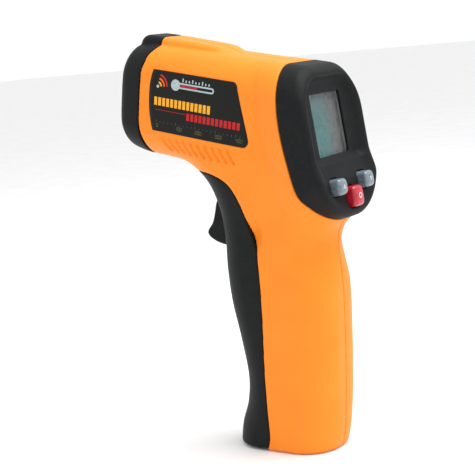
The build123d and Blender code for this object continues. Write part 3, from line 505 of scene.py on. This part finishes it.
tongue_low = (hinge[0] - knuckle * math.cos(swing), hinge[1] - knuckle * math.sin(swing))
tongue_outline = [
    (3, 0), (3, hinge[1] + knuckle), (hinge[0], hinge[1] + knuckle), (hinge[0], hinge[1]),
    tongue_low, (tongue_low[0] + tongue_low[1] * math.tan(swing), 0),
]


def shell_field(block):
    """Both shells as one hollow, before the mid-plane splits them."""
    d = block.form()
    d = d + 0.85 * (1 - ease(slot_distance(block.u, block.w), 0.15, 0.8))
    d = d + 0.25 * (1 - ease(label_distance(block.u, block.w), -0.05, 0.35))
    reach = np.sqrt(
        (block.x - scoop[0]) ** 2 * 1.6 + (np.abs(block.y) - scoop[1]) ** 2 + (block.z - scoop[2]) ** 2 * 0.35
    )
    d = d + 2.0 * (1 - ease(reach, 0, 6.0))
    bosses = np.minimum.reduce([block.from_rod(place, screw_boss) for place in screw_places])
    bosses = np.minimum(bosses, np.maximum(block.from_rod(pivot, 3.4), 5.3 - np.abs(block.y)))
    inside = np.minimum(-block.form(WALL), bosses)
    d = round_cut(d, -block.door + SEAM, 0.3)
    d = round_cut(d, -block.bezel + SEAM, 0.3)
    d = round_cut(d, block.cap + SEAM, 0.3)
    d = np.maximum(d, inside)
    tongue = np.minimum(block.from_outline(tongue_outline), block.from_rod(hinge, knuckle))
    d = np.minimum(d, round_cut(tongue, np.abs(block.y) - tongue_half, 0.3))
    return np.maximum(d, -block.from_rod(hinge, 1.25))


for name, direction in (("left_shell", -1), ("right_shell", 1)):
    low_y, high_y = (-23.2, 0.8) if direction < 0 else (-0.8, 23.2)
    block = Block((-46.0, low_y, -1.0), (36.0, high_y, 162.6))
    field = shell_field(block)
    if direction > 0:
        wells = np.minimum.reduce([block.from_rod(place, screw_well) for place in screw_places])
        field = round_cut(field, -np.maximum(wells, screw_seat - block.y), 0.25)
    field = round_cut(field, -direction * block.y + 0.02, 0.3)
    piece = block.mesh(name + "_skin", field)
    fit_out(piece, "housing", orange_finish, "orange_shell", name)


# Nose cap: the black front of the barrel, a separate moulding with a fine
# matte grain. It holds the lens opening, the laser's hole and a spigot that
# pushes into the shells.
black_finish = Finish("black_plastic", 0.55, Specular_IOR_Level=0.12)
black_grain = black_finish.noise(0.0007, 4)
black_cloud = black_finish.noise(0.003, 5)
black_finish.colour(black_finish.mix(
    0.5,
    black_finish.ramp(black_grain, [(0.35, (0.0045, 0.0055, 0.006)), (0.7, (0.013, 0.014, 0.014))]),
    black_finish.ramp(black_cloud, [(0.3, (0.005, 0.007, 0.008)), (0.7, (0.011, 0.011, 0.011))]),
))
black_finish.rough(black_grain, 0.48, 0.62)
black_finish.bump(black_grain, 0.00005)

sensor_w = -3.0
aperture = 9.0
laser_w = 18.2
laser_hole = 2.0
block = Block((-61.6, -20.0, 106.0), (-27.0, 20.4, 163.4), 0.35)
field = round_cut(block.form(), SEAM - block.cap, 0.3)
field = np.maximum(field, -block.form(WALL))
spigot = np.maximum(block.form(WALL + 0.15), -block.form(WALL + 1.5))
spigot = np.maximum(spigot, np.abs(block.u - NOSE_SEAM) - 3)
field = np.minimum(field, spigot)
field = round_cut(field, -np.maximum(block.from_bore(sensor_w, aperture), block.u + 40), 0.9)
field = round_cut(field, -np.maximum(block.from_bore(laser_w, laser_hole), block.u + 40), 0.4)
piece = block.mesh("nose_cap_skin", field)
fit_out(piece, "housing", black_finish, "black_plastic", "nose_cap")


# Rear bezel: black moulding over the back of the head. Its dished face holds
# the display window, with a ramp under it, and the wells of three buttons.
window = (0.0, 2.2, 10.5, 11.2)
button_wells = [(-9.9, -20.0, 3.1, 3.0), (9.9, -20.0, 3.1, 3.0), (0.0, -24.7, 3.4, 3.8)]
button_gap = 0.3
pane_seat = -4.42


def rear_face(block, d):
    """Cuts the rear of the form back to its dished and rounded face."""
    down = -block.v
    rim = 2.1 + 2.2 * ease(block.v, 7, 19)
    edge = -0.4 + 1.6 * ease(down, 8, 19)
    floor = -3.5 + 1.7 * np.clip((down - 9.4) / 2.4, 0, 1) + 2.0 * ease(down, 11, 20)
    dish = (edge - floor) * ease(-d, 2.0, 7.0)
    return round_cut(d, block.n - edge + dish, rim)


def well(block, across, up, half_width, half_height, corner):
    """Distance to a rounded opening square to the rear face."""
    a = np.abs(block.y - across) - half_width + corner
    b = np.abs(block.v - up) - half_height + corner
    return rounded(a, b, corner)


block = Block((8.0, -21.6, 84.0), (38.4, 21.9, 152.0), 0.3)
form = block.form()
field = rear_face(block, form)
field = round_cut(field, block.bezel + SEAM, 0.3)
inside = np.maximum(block.form(WALL), block.n - pane_seat)
field = np.maximum(field, -inside)
field = round_cut(field, -well(block, *window, 0.3), 0.25)
for across, up, half_width, half_height in button_wells:
    gap = well(block, across, up, half_width + button_gap, half_height + button_gap, 2.0)
    field = round_cut(field, -gap, 0.3)
piece = block.mesh("rear_bezel_skin", field)
fit_out(piece, "housing", black_finish, "black_plastic", "rear_bezel")


# Battery door: the black front of the grip, which swings down on a pin low at
# its front. The trigger passes through its slot, and two knuckles inside it
# sit either side of the shells' tongue.
slot_half = 5.2
slot_low, slot_high = 74.6, 99.0
door_floor = 0.8
knuckle_room = 2.8
block = Block((-36.0, -16.8, -0.4), (5.0, 17.2, 111.4), 0.35)
form = block.form()
field = round_cut(form, door_floor - block.z, 0.8)
field = round_cut(field, block.door, 0.35)
field = np.maximum(field, -np.maximum(block.form(WALL), door_floor + WALL - block.z))
slot_across = np.abs(block.y) - slot_half + 2.6
slot_up = np.abs(block.z - (slot_low + slot_high) / 2) - (slot_high - slot_low) / 2 + 2.6
trigger_slot = np.hypot(np.maximum(slot_across, 0), np.maximum(slot_up, 0)) - 2.6
field = round_cut(field, -trigger_slot, 0.5)
tongue_room = np.minimum(
    block.from_rod(hinge, knuckle_room),
    np.minimum(
        np.maximum(hinge[0] - block.x, block.z - hinge[1] - knuckle_room),
        np.maximum(hinge[0] - knuckle_room - block.x, block.z - hinge[1]),
    ),
)
field = np.maximum(field, -np.maximum(tongue_room, np.abs(block.y) - tongue_half - 0.3))
knuckles = np.minimum(
    block.from_rod(hinge, knuckle),
    np.maximum(np.abs(block.x - hinge[0] + knuckle), np.abs(block.z - hinge[1])) - knuckle,
)
knuckles = np.maximum(knuckles, np.abs(np.abs(block.y) - tongue_half - 2.3) - 2.0)
field = np.minimum(field, np.maximum(knuckles, form))
field = np.maximum(field, -np.maximum(block.from_rod(hinge, 1.3), np.abs(block.y) - 9.0))
piece = block.mesh("battery_door_skin", field)
fit_out(piece, "door", black_finish, "black_plastic", "battery_door")


# Trigger: a black lever with a rounded finger face, hung from a steel pin in
# the head and pushed forward by a coil spring.
trigger_outline = [
    *smooth_curve([
        (-15.6, 111.5), (-15.9, 101), (-20.6, 97.9), (-23.3, 94.6), (-24.6, 90.5), (-26.2, 86.4),
        (-28.6, 83.4), (-28.3, 81.2), (-25.2, 79.0), (-20.5, 77.6), (-14, 77.1),
    ]),
    (-6.1, 79), (-6.1, 95), (-9.2, 100), (-9.6, 111.5),
]
trigger_half = 4.4
block = Block((-31.0, -5.4, 75.6), (-4.0, 5.6, 116.0), 0.25)
field = round_cut(block.from_outline(trigger_outline) + 0.05, np.abs(block.y) - trigger_half, 1.5)
field = np.minimum(field, round_cut(block.from_rod(pivot, 3.2), np.abs(block.y) - trigger_half, 0.3))
field = np.maximum(field, -block.from_rod(pivot, 1.55))
piece = block.mesh("trigger_skin", field)
fit_out(piece, "trigger", black_finish, "black_plastic", "trigger")


# Labels: one black satin film on each flank, die-cut with rounded corners and
# stuck into its recess. Its print is a wave sign, a thermometer sign, an amber
# and red bar scale, and a small numbered temperature scale.
film_top = -0.06
film_under = -0.24
ink = 0.03

film_finish = Finish("label_film", 0.4, Specular_IOR_Level=0.14)
film_speckle = film_finish.noise(0.0006, 3)
film_finish.colour(film_finish.ramp(
    film_speckle, [(0.35, (0.007, 0.008, 0.007)), (0.65, (0.011, 0.012, 0.010))]
))
film_finish.rough(film_speckle, 0.34, 0.46)
film_finish.bump(film_speckle, 0.000012)


def ink_finish(name, colour, worn):
    """Screen-printed ink: an even colour with a little show-through."""
    finish = Finish(name, 0.4, Specular_IOR_Level=0.2)
    patch = finish.noise(0.0005, 3)
    finish.colour(finish.ramp(patch, [(0.3, worn), (0.55, colour)]))
    finish.rough(patch, 0.34, 0.48)
    return finish


silver_ink = ink_finish("silver_ink", (0.42, 0.50, 0.52), (0.26, 0.33, 0.35))
amber_ink = ink_finish("amber_ink", (0.86, 0.40, 0.020), (0.70, 0.30, 0.012))
orange_ink = ink_finish("orange_ink", (0.80, 0.13, 0.012), (0.62, 0.09, 0.008))
red_ink = ink_finish("red_ink", (0.50, 0.012, 0.015), (0.36, 0.010, 0.012))
olive_ink = ink_finish("olive_ink", (0.13, 0.12, 0.045), (0.085, 0.08, 0.030))

flank_block = Block((-46.0, 0.0, 104.0), (14.0, 0.5, 148.0), 0.5)


def flank_point(u, w, lift, direction):
    """A point in metres on a flank, at a place in barrel axes, raised by a lift."""
    b = flank_block
    surface = b.half - b.corner + np.sqrt(
        np.maximum((lift + b.corner) ** 2 - np.maximum(b.side + b.corner, 0) ** 2, 0)
    )
    x, z = barrel(u, w)
    i, k = (x - b.low[0]) / b.spacing, (z - b.low[2]) / b.spacing
    i0, k0 = int(i), int(k)
    i, k = i - i0, k - k0
    near = surface[i0, 0, k0] * (1 - i) + surface[i0 + 1, 0, k0] * i
    far = surface[i0, 0, k0 + 1] * (1 - i) + surface[i0 + 1, 0, k0 + 1] * i
    return (x * MM, direction * float(near * (1 - k) + far * k) * MM, z * MM)


def film_edges(w):
    """Front and rear ends of the label film at a height across the barrel."""
    u = np.arange(-34, 17, 0.02)
    inside = u[label_distance(u, np.full_like(u, w)) < 0]
    return inside[0], inside[-1]


def label_film(name, direction):
    """The die-cut film as a thin closed sheet that follows the flank."""
    rows, columns = 40, 36
    rise = np.arange(-12, 16, 0.01)
    rise = rise[label_distance(np.full_like(rise, -10.0), rise) < 0]
    middle, reach = (rise[-1] + rise[0]) / 2, (rise[-1] - rise[0]) / 2
    heights = [middle + reach * math.sin(math.pi * (i / rows - 0.5)) for i in range(rows + 1)]
    points, faces = [], []
    for lift in (film_top, film_under):
        for w in heights:
            front, rear = film_edges(w)
            for j in range(columns + 1):
                points.append(flank_point(front + (rear - front) * j / columns, w, lift, direction))
    across, sheet = columns + 1, (rows + 1) * (columns + 1)
    for i in range(rows):
        for j in range(columns):
            a = i * across + j
            faces.append((a, a + 1, a + across + 1, a + across))
            faces.append((a + sheet + across, a + sheet + across + 1, a + sheet + 1, a + sheet))
    rim = [*range(columns), *[i * across + columns for i in range(rows)],
           *[rows * across + j for j in range(columns, 0, -1)], *[i * across for i in range(rows, 0, -1)]]
    for a, b in zip(rim, rim[1:] + rim[:1]):
        faces.append((b, a, a + sheet, b + sheet))
    if direction > 0:
        faces = [face[::-1] for face in faces]
    return new_piece(name, points, faces)


def bar(u, w, width, height, slant=0.0):
    """An upright bar standing on a place, as one shape."""
    return [(u, w), (u + width, w), (u + width + slant, w + height), (u + slant, w + height)]


def band(u, w, inner, outer, start, end, steps=10):
    """A curved band round a centre, as a run of small shapes."""
    shapes = []
    for i in range(steps):
        a, b = (math.radians(start + (end - start) * (i + k) / steps) for k in (0, 1))
        shapes.append([
            (u + r * math.cos(t), w + r * math.sin(t))
            for r, t in ((inner, a), (outer, a), (outer, b), (inner, b))
        ])
    return shapes


segment_bars = {
    "top": (0, 2, 1, 2), "middle": (0, 1, 1, 1), "bottom": (0, 0, 1, 0),
    "low_left": (0, 0, 0, 1), "high_left": (0, 1, 0, 2),
    "low_right": (1, 0, 1, 1), "high_right": (1, 1, 1, 2),
}
digit_segments = {
    "0": "top bottom low_left high_left low_right high_right",
    "1": "low_right high_right",
    "2": "top high_right middle low_left bottom",
    "3": "top high_right middle low_right bottom",
    "4": "high_left middle high_right low_right",
}


def number(text, u, w, cell=0.62, line=0.16):
    """A number in seven-segment figures, its lower left corner at a place."""
    shapes = []
    for place, figure in enumerate(text):
        left = u + place * cell * 1.75
        for segment in digit_segments[figure].split():
            a, b, c, d = (value * cell for value in segment_bars[segment])
            shapes.append(bar(left + a - line / 2, w + b - line / 2, c - a + line, d - b + line))
    return shapes


def raised_ink(name, shapes, lifts, place):
    """Flat shapes as thin prisms between two lifts, set on a surface by a placing function."""
    points, faces = [], []
    for shape in shapes:
        start, count = len(points), len(shape)
        for lift in lifts:
            points.extend(place(a, b, lift) for a, b in shape)
        faces.append(tuple(range(start, start + count)))
        faces.append(tuple(range(start + 2 * count - 1, start + count - 1, -1)))
        for i in range(count):
            j = (i + 1) % count
            faces.append((start + j, start + i, start + count + i, start + count + j))
    piece = new_piece(name, points, faces)
    piece.data.polygons.foreach_set("use_smooth", np.zeros(len(faces), dtype=bool))
    return piece


def printed(name, direction, middle, finish, shapes):
    """Ink on one label: shapes turned to read forwards on either side."""
    if direction > 0:
        shapes = [[(2 * middle - u, w) for u, w in shape] for shape in shapes]
    lifts = (film_top + ink, film_top - ink)
    piece = raised_ink(name, shapes, lifts, lambda u, w, lift: flank_point(u, w, lift, direction))
    fit_out(piece, "housing", finish, "label_film")


thermometer_sign = [
    *band(-20.2, 8.9, 0.0, 2.1, 0, 360, 18),
    *[bar(-18.6 + i * 1.5, 7.8, 1.5, 0.6) for i in range(10)],
    *[bar(-18.6 + i * 1.5, 9.4, 1.5, 0.6) for i in range(10)],
    *band(-3.6, 8.9, 0.5, 1.1, -90, 90, 8),
    *[bar(-17.2 + i * 1.5, 10.4, 0.55, 0.8 if i % 3 else 1.3) for i in range(9)],
]
thermometer_fill = [bar(-18.4 + i * 1.4, 8.6, 1.4, 0.6) for i in range(6)]
amber_bars = [bar(-29.8 + i * 1.9, 0.3, 1.35, 3.1) for i in range(14)]
red_bars = [bar(-14.4 + i * 1.9, -3.5, 1.35, 2.7) for i in range(13)]
under_line = [bar(-29.2 + i * 2.4, -1.4, 2.4, 0.16) for i in range(6)]
scale_numbers = [number(str(i * 100), -28.4 + i * 9.2, -7.9) for i in range(5)]
scale_ticks = [bar(-28.6 + i * 1.84, -6.1, 0.16, 0.5 if i % 5 else 0.9) for i in range(22)]
for name, direction in (("left_label", -1), ("right_label", 1)):
    film = label_film(name + "_film", direction)
    fit_out(film, "housing", film_finish, "label_film", name)
    for finish, middle, part, rows in (
        (red_ink, -12.2, "wave_far", band(-28.4, 7.4, 4.0, 4.7, 5, 80)),
        (orange_ink, -12.2, "wave_middle", band(-28.4, 7.4, 2.6, 3.3, 5, 80)),
        (amber_ink, -12.2, "wave_near", band(-28.4, 7.4, 1.2, 1.9, 5, 80)),
        (silver_ink, -12.2, "wave_source", band(-28.4, 7.4, 0.0, 0.6, 0, 360, 12)),
        (silver_ink, -12.2, "thermometer_sign", thermometer_sign),
        (red_ink, -12.2, "thermometer_fill", thermometer_fill),
        (amber_ink, -11.4, "amber_bars", amber_bars),
        (red_ink, -10.2, "red_bars", red_bars + under_line),
        (olive_ink, -8.3, "scale", [shape for figures in scale_numbers for shape in figures] + scale_ticks),
    ):
        printed(name + "_" + part, direction, middle, finish, rows)


# Buttons: three caps moulded in translucent rubber, two smoke grey and one
# red, each with a flange behind the bezel and a small white printed sign.
cap_proud = 3.8
flange_back = -5.7
flange_front = -4.5
flange_reach = 0.7
cap_corner = 1.7
cap_edge = 1.1


def rubber_finish(name, colour, deep):
    """Translucent silicone with soft depth, faint mottle, a wiped gloss and a painted sheen: the colour is
    painted lighter towards the cap's edges as seen from the camera.
    """
    finish = Finish(
        name, 0.3, Coat_Weight=0.35, Coat_Roughness=0.22, Subsurface_Weight=0.25, Subsurface_Scale=0.0015,
    )
    cloud = finish.noise(0.0018, 3)
    # Painted sheen: the view-facing weight moves the colour from the darker mottle to the full colour towards
    # the cap's edges.
    painted_edge_sheen = finish.node("LayerWeight", Blend=0.35).outputs["Facing"]
    finish.colour(finish.mix(painted_edge_sheen, finish.ramp(cloud, [(0.3, deep), (0.7, colour)]), colour))
    finish.rough(cloud, 0.24, 0.36)
    finish.bump(finish.noise(0.0004, 2), 0.00001)
    return finish


grey_rubber = rubber_finish("grey_button", (0.16, 0.205, 0.235), (0.085, 0.115, 0.135))
red_rubber = rubber_finish("red_button", (0.46, 0.006, 0.022), (0.30, 0.004, 0.014))
white_ink = ink_finish("white_ink", (0.72, 0.73, 0.74), (0.55, 0.56, 0.57))


def face_point(across, up, out):
    """A point in metres from its place on the rear face."""
    return (
        (FACE[0] - up * math.sin(LEAN) + out * math.cos(LEAN)) * MM,
        across * MM,
        (FACE[1] + up * math.cos(LEAN) + out * math.sin(LEAN)) * MM,
    )


def dome(a, b, half_width, half_height):
    """Height of a cap's crowned top at a place measured from its middle."""
    return cap_proud - 0.35 * ((a / half_width) ** 2 + (b / half_height) ** 2)


def button_cap(name, across, up, half_width, half_height):
    """A crowned cap with drafted sides, standing on its flange."""
    spacing = 0.15
    reach = (half_width + 1.1, half_height + 1.1)
    a = np.arange(-reach[0], reach[0], spacing, dtype=np.float32)[:, None, None]
    b = np.arange(-reach[1], reach[1], spacing, dtype=np.float32)[None, :, None]
    c = np.arange(flange_back - 0.5, cap_proud + 0.5, spacing, dtype=np.float32)[None, None, :]
    plan_a = np.abs(a) - half_width + cap_corner
    plan_b = np.abs(b) - half_height + cap_corner
    plan = rounded(plan_a, plan_b, cap_corner)
    field = round_cut(plan + 0.03 * np.maximum(c, 0), c - dome(a, b, half_width, half_height), cap_edge)
    flange = np.maximum(plan - flange_reach, c - flange_front)
    field = np.maximum(np.minimum(field, flange), flange_back - c)
    points, quads = surface_quads(field, 2.0)
    places = [
        face_point(
            across + i * spacing - reach[0], up + j * spacing - reach[1], k * spacing + flange_back - 0.5
        )
        for i, j, k in points.tolist()
    ]
    return new_piece(name, places, quads[:, ::-1], 3)


def cap_sign(name, across, up, half_width, half_height, shapes, body):
    """A small white sign printed on the crown of a cap."""
    def on_crown(a, b, lift):
        return face_point(across + a, up + b, dome(a, b, half_width, half_height) + lift)

    piece = raised_ink(name, shapes, (ink, -2 * ink), on_crown)
    fit_out(piece, body, white_ink, "red_button")


up_sign = [[(-0.9, -0.6), (0.9, -0.6), (0.0, 0.8)]]
down_sign = [[(-0.9, 0.6), (0.0, -0.8), (0.9, 0.6)]]
ring_sign = band(0.0, 0.0, 0.7, 1.0, 0, 360, 24)
for name, place, finish, slot, sign in (
    ("left", button_wells[0], grey_rubber, "grey_button", up_sign),
    ("right", button_wells[1], grey_rubber, "grey_button", down_sign),
    ("mode", button_wells[2], red_rubber, "red_button", ring_sign),
):
    cap = button_cap(name + "_cap", *place)
    fit_out(cap, name + "_key", finish, slot, name + "_button")
    cap_sign(name + "_sign", *place, sign, name + "_key")


# Display: a clear pane over the liquid crystal cell, which shows grey-teal with no figures while it is off
# and has a painted grey reflection over its +Y side, held in a white frame on striped contacts.
def dress(finish, *names):
    """Gives CAD nodes a finish in place of the plain one they were packed with."""
    for name in names:
        materials = nodes[name].data.materials
        materials.clear()
        materials.append(finish.material)


pane_finish = Finish("clear_window", 0.08, Alpha=0.05, IOR=1.49, Specular_IOR_Level=0.12)
pane_finish.colour(pane_finish.ramp(
    pane_finish.noise(0.004, 2), [(0.3, (0.30, 0.34, 0.34)), (0.7, (0.36, 0.40, 0.40))]
))
dress(pane_finish, "display_window")

lcd_finish = Finish("lcd_glass", 0.4, Specular_IOR_Level=0.15)
lcd_low, lcd_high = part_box("lcd_cell")
lcd_across = lcd_finish.stretch(lcd_finish.axis("Y"), lcd_low.y, lcd_high.y)
lcd_up = lcd_finish.stretch(lcd_finish.axis("Z"), lcd_low.z, lcd_high.z)
lcd_teal = lcd_finish.ramp(lcd_up, [
    (0.05, (0.055, 0.130, 0.140)), (0.35, (0.042, 0.130, 0.125)), (0.65, (0.045, 0.120, 0.125)),
    (0.95, (0.095, 0.135, 0.145)),
])
# Painted reflection: towards the +Y side the teal gives way to a flat grey that stands in for light reflected
# off the glass.
lcd_painted_glare = lcd_finish.ramp(lcd_across, [(0.5, (0, 0, 0)), (0.7, (0.8, 0.8, 0.8)), (0.9, (1, 1, 1))])
lcd_cloud = lcd_finish.noise(0.0022, 5)
lcd_glare_grey = lcd_finish.ramp(lcd_cloud, [(0.3, (0.070, 0.070, 0.072)), (0.7, (0.120, 0.112, 0.112))])
lcd_finish.colour(lcd_finish.mix(lcd_painted_glare, lcd_teal, lcd_glare_grey))
lcd_finish.rough(lcd_cloud, 0.24, 0.34)
dress(lcd_finish, "lcd_cell")

white_finish = Finish("white_plastic", 0.45)
white_finish.colour(white_finish.ramp(
    white_finish.noise(0.004, 3), [(0.3, (0.70, 0.70, 0.68)), (0.7, (0.78, 0.78, 0.76))]
))
white_finish.bump(white_finish.noise(0.0005, 2), 0.00001)
dress(white_finish, "lcd_frame")

strip_finish = Finish("elastomer", 0.6)
strip_lines = strip_finish.node("TexWave", Vector=strip_finish.place, Scale=700.0)
strip_lines.bands_direction = "Y"
strip_finish.colour(strip_finish.ramp(
    strip_lines.outputs["Fac"], [(0.4, (0.50, 0.33, 0.38)), (0.6, (0.02, 0.02, 0.02))]
))
dress(strip_finish, "contact_strips")


# Boards: green solder mask over copper tracks on glass laminate, with black
# moulded parts soldered on.
board_finish = Finish("circuit_board", 0.35, Coat_Weight=0.3, Coat_Roughness=0.2)
board_tracks = board_finish.node(
    "TexBrick", Vector=board_finish.place, Scale=160.0,
    Color1=(0, 0, 0, 1), Color2=(0.1, 0.1, 0.1, 1), Mortar=(1, 1, 1, 1),
)
board_tracks.inputs["Mortar Size"].default_value = 0.04
board_track_mask = board_finish.sum("MULTIPLY", board_tracks.outputs["Fac"], board_finish.sum(
    "GREATER_THAN", board_finish.noise(0.006, 2), 0.5
))
board_finish.colour(board_finish.mix(
    board_track_mask,
    board_finish.ramp(
        board_finish.noise(0.001, 3), [(0.3, (0.008, 0.085, 0.030)), (0.7, (0.012, 0.110, 0.040))]
    ),
    (0.030, 0.22, 0.085),
))
board_finish.bump(board_track_mask, 0.00003)
dress(board_finish, "main_board", "sensor_board", "trigger_board")

chip_finish = Finish("component_black", 0.5, Specular_IOR_Level=0.35)
chip_grain = chip_finish.noise(0.0003, 3)
chip_finish.colour(chip_finish.ramp(chip_grain, [(0.3, (0.012, 0.012, 0.013)), (0.7, (0.028, 0.028, 0.029))]))
chip_finish.bump(chip_grain, 0.00001)
dress(
    chip_finish, "microcontroller", "board_components", "button_switches", "trigger_switch",
    "trigger_plunger", "left_plunger", "right_plunger", "mode_plunger",
)


# Metalwork: plated steel screws, pins, springs and contacts, brushed along
# their length, and a turned brass body round the laser.
def metal_finish(name, bright, dark, roughness):
    """Plated metal with fine drawn lines and a slight haze."""
    finish = Finish(name, roughness, Metallic=1.0)
    lines = finish.noise(0.0002, 4, (1, 0.08, 1))
    finish.colour(finish.ramp(lines, [(0.3, dark), (0.7, bright)]))
    finish.rough(lines, roughness - 0.06, roughness + 0.1)
    finish.bump(lines, 0.000006)
    return finish


steel_finish = metal_finish("steel", (0.62, 0.62, 0.61), (0.42, 0.42, 0.42), 0.3)
brass_finish = metal_finish("brass", (0.72, 0.50, 0.20), (0.52, 0.34, 0.12), 0.28)
dress(
    steel_finish, "board_screws", "trigger_pin", "trigger_spring",
    "cell_spring_left", "cell_spring_right", "contact_plates", "sensor_can",
)
dress(brass_finish, "laser_body")


def turned_rod(name, place, start, end, radius, edge):
    """A rod across the housing with chamfered ends, from its side-view place."""
    profile = [(start, radius - edge), (start + edge, radius), (end - edge, radius), (end, radius - edge)]
    sides = 28
    points, faces = [], []
    for across, r in profile:
        for i in range(sides):
            turn = 2 * math.pi * i / sides
            x, z = place[0] + r * math.cos(turn), place[1] + r * math.sin(turn)
            points.append((x * MM, across * MM, z * MM))
    for ring in range(len(profile) - 1):
        for i in range(sides):
            j = (i + 1) % sides
            a = ring * sides
            faces.append((a + i, a + j, a + sides + j, a + sides + i))
    faces.append(tuple(range(sides - 1, -1, -1)))
    faces.append(tuple(range(len(points) - sides, len(points))))
    return new_piece(name, points, faces)


pin = turned_rod("hinge_pin_turned", hinge, -8.8, 8.8, 1.2, 0.25)
fit_out(pin, "housing", steel_finish, "steel", "door_hinge_pin")
screw_head = 2.45
screw_crown = 11.9
drive = (1.5, 0.32, 11.0)
for number_along, place in enumerate(screw_places, 1):
    shank = turned_rod(f"housing_screw_{number_along}_shank", place, -8.0, screw_seat + 0.3, 1.15, 0.4)
    fit_out(shank, "housing", steel_finish, "steel", "housing_screws")
    block = Block((place[0] - 3, 9.8, place[1] - 3), (place[0] + 3, 12.6, place[1] + 3), 0.12)
    away = block.from_rod(place, 0)
    crown = block.y - screw_crown + 0.09 * away ** 2
    field = round_cut(round_cut(away - screw_head, crown, 0.35), screw_seat - block.y, 0.2)
    reach, half_slot, drive_floor = drive
    beside, above = np.abs(block.x - place[0]), np.abs(block.z - place[1])
    cross = np.minimum(
        np.maximum(beside - half_slot, above - reach), np.maximum(above - half_slot, beside - reach)
    )
    field = np.maximum(field, -np.maximum(cross + 0.25 * (screw_crown - block.y), drive_floor - block.y))
    head = block.mesh(f"housing_screw_{number_along}_head", field)
    fit_out(head, "housing", steel_finish, "steel", "housing_screws")


# Lens end: a matte black tube and ring hold a milky ribbed film over the
# sensor, and a small dark red lens closes the laser.
tube_finish = Finish("inner_black", 0.6, Specular_IOR_Level=0.3)
tube_ribs = tube_finish.node("TexWave", Vector=tube_finish.place, Scale=330.0)
tube_ribs.bands_direction = "X"
tube_finish.colour(tube_finish.ramp(
    tube_finish.noise(0.0008, 3), [(0.3, (0.010, 0.010, 0.011)), (0.7, (0.020, 0.020, 0.021))]
))
tube_finish.bump(tube_ribs.outputs["Fac"], 0.0001)
dress(tube_finish, "sensor_tube", "lens_ring", "battery_holder")

lens_low, lens_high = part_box("infrared_lens")
lens_middle = (lens_low + lens_high) / 2
film_lens = Finish("infrared_film", 0.32, Subsurface_Weight=0.3, Subsurface_Scale=0.001)
lens_place = film_lens.node("Mapping", Vector=film_lens.place, Location=-lens_middle)
lens_rings = film_lens.node("TexWave", Vector=lens_place.outputs[0], Scale=420.0)
lens_rings.wave_type = "RINGS"
lens_rings.rings_direction = "SPHERICAL"
film_lens.colour(film_lens.ramp(
    lens_rings.outputs["Fac"], [(0.2, (0.50, 0.52, 0.50)), (0.8, (0.66, 0.67, 0.65))]
))
film_lens.bump(lens_rings.outputs["Fac"], 0.00012)
dress(film_lens, "infrared_lens")

laser_glass = Finish("laser_glass", 0.08, Coat_Weight=1.0, Coat_Roughness=0.02)
laser_glass.colour(laser_glass.ramp(
    laser_glass.noise(0.001, 2), [(0.3, (0.10, 0.010, 0.012)), (0.7, (0.16, 0.015, 0.018))]
))
dress(laser_glass, "laser_lens")


# Cells: two dry cells in printed steel jackets, dark with one amber end band,
# nub end bare metal.
def cell_finish(name, node, nub_up):
    """Jacket printed in bands along the cell's height, bare at both ends."""
    low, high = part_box(node)
    finish = Finish(name, 0.3, Coat_Weight=0.4, Coat_Roughness=0.15)
    flat_end, nub_end = (low.z, high.z) if nub_up else (high.z, low.z)
    bands = finish.ramp(finish.stretch(finish.axis("Z"), flat_end, nub_end), [
        (0.0, (0.45, 0.45, 0.44)), (0.012, (0.012, 0.014, 0.018)), (0.70, (0.62, 0.25, 0.02)),
        (0.965, (0.48, 0.48, 0.47)),
    ])
    for node_made in finish.tree.nodes:
        if node_made.type == "VALTORGB":
            node_made.color_ramp.interpolation = "CONSTANT"
    scuffs = finish.ramp(finish.noise(0.001, 5), [(0.45, (1, 1, 1)), (0.75, (0.8, 0.8, 0.8))])
    finish.colour(finish.mix(1.0, bands, scuffs, "MULTIPLY"))
    finish.rough(finish.noise(0.002, 3), 0.24, 0.36)
    dress(finish, node)


cell_finish("cell_jacket_left", "aaa_cell_left", True)
cell_finish("cell_jacket_right", "aaa_cell_right", False)


# Leads: stranded wire in soft red or black insulation, and a flat ribbon of
# parallel conductors from the sensor board.
def lead_finish(name, colour, deep):
    """Soft insulation with a faint mottle."""
    finish = Finish(name, 0.4)
    mottle = finish.noise(0.001, 3)
    finish.colour(finish.ramp(mottle, [(0.3, deep), (0.7, colour)]))
    finish.bump(mottle, 0.00002)
    return finish


dress(lead_finish("red_lead", (0.50, 0.015, 0.012), (0.36, 0.010, 0.008)), "battery_lead_red", "laser_lead")
dress(lead_finish("black_lead", (0.020, 0.020, 0.020), (0.011, 0.011, 0.011)), "battery_lead_black")
ribbon_finish = Finish("ribbon", 0.45)
ribbon_lines = ribbon_finish.node("TexWave", Vector=ribbon_finish.place, Scale=320.0)
ribbon_lines.bands_direction = "Y"
ribbon_finish.colour(ribbon_finish.ramp(
    ribbon_lines.outputs["Fac"], [(0.3, (0.42, 0.42, 0.40)), (0.6, (0.62, 0.61, 0.57))]
))
ribbon_finish.bump(ribbon_lines.outputs["Fac"], 0.0001)
dress(ribbon_finish, "sensor_ribbon")
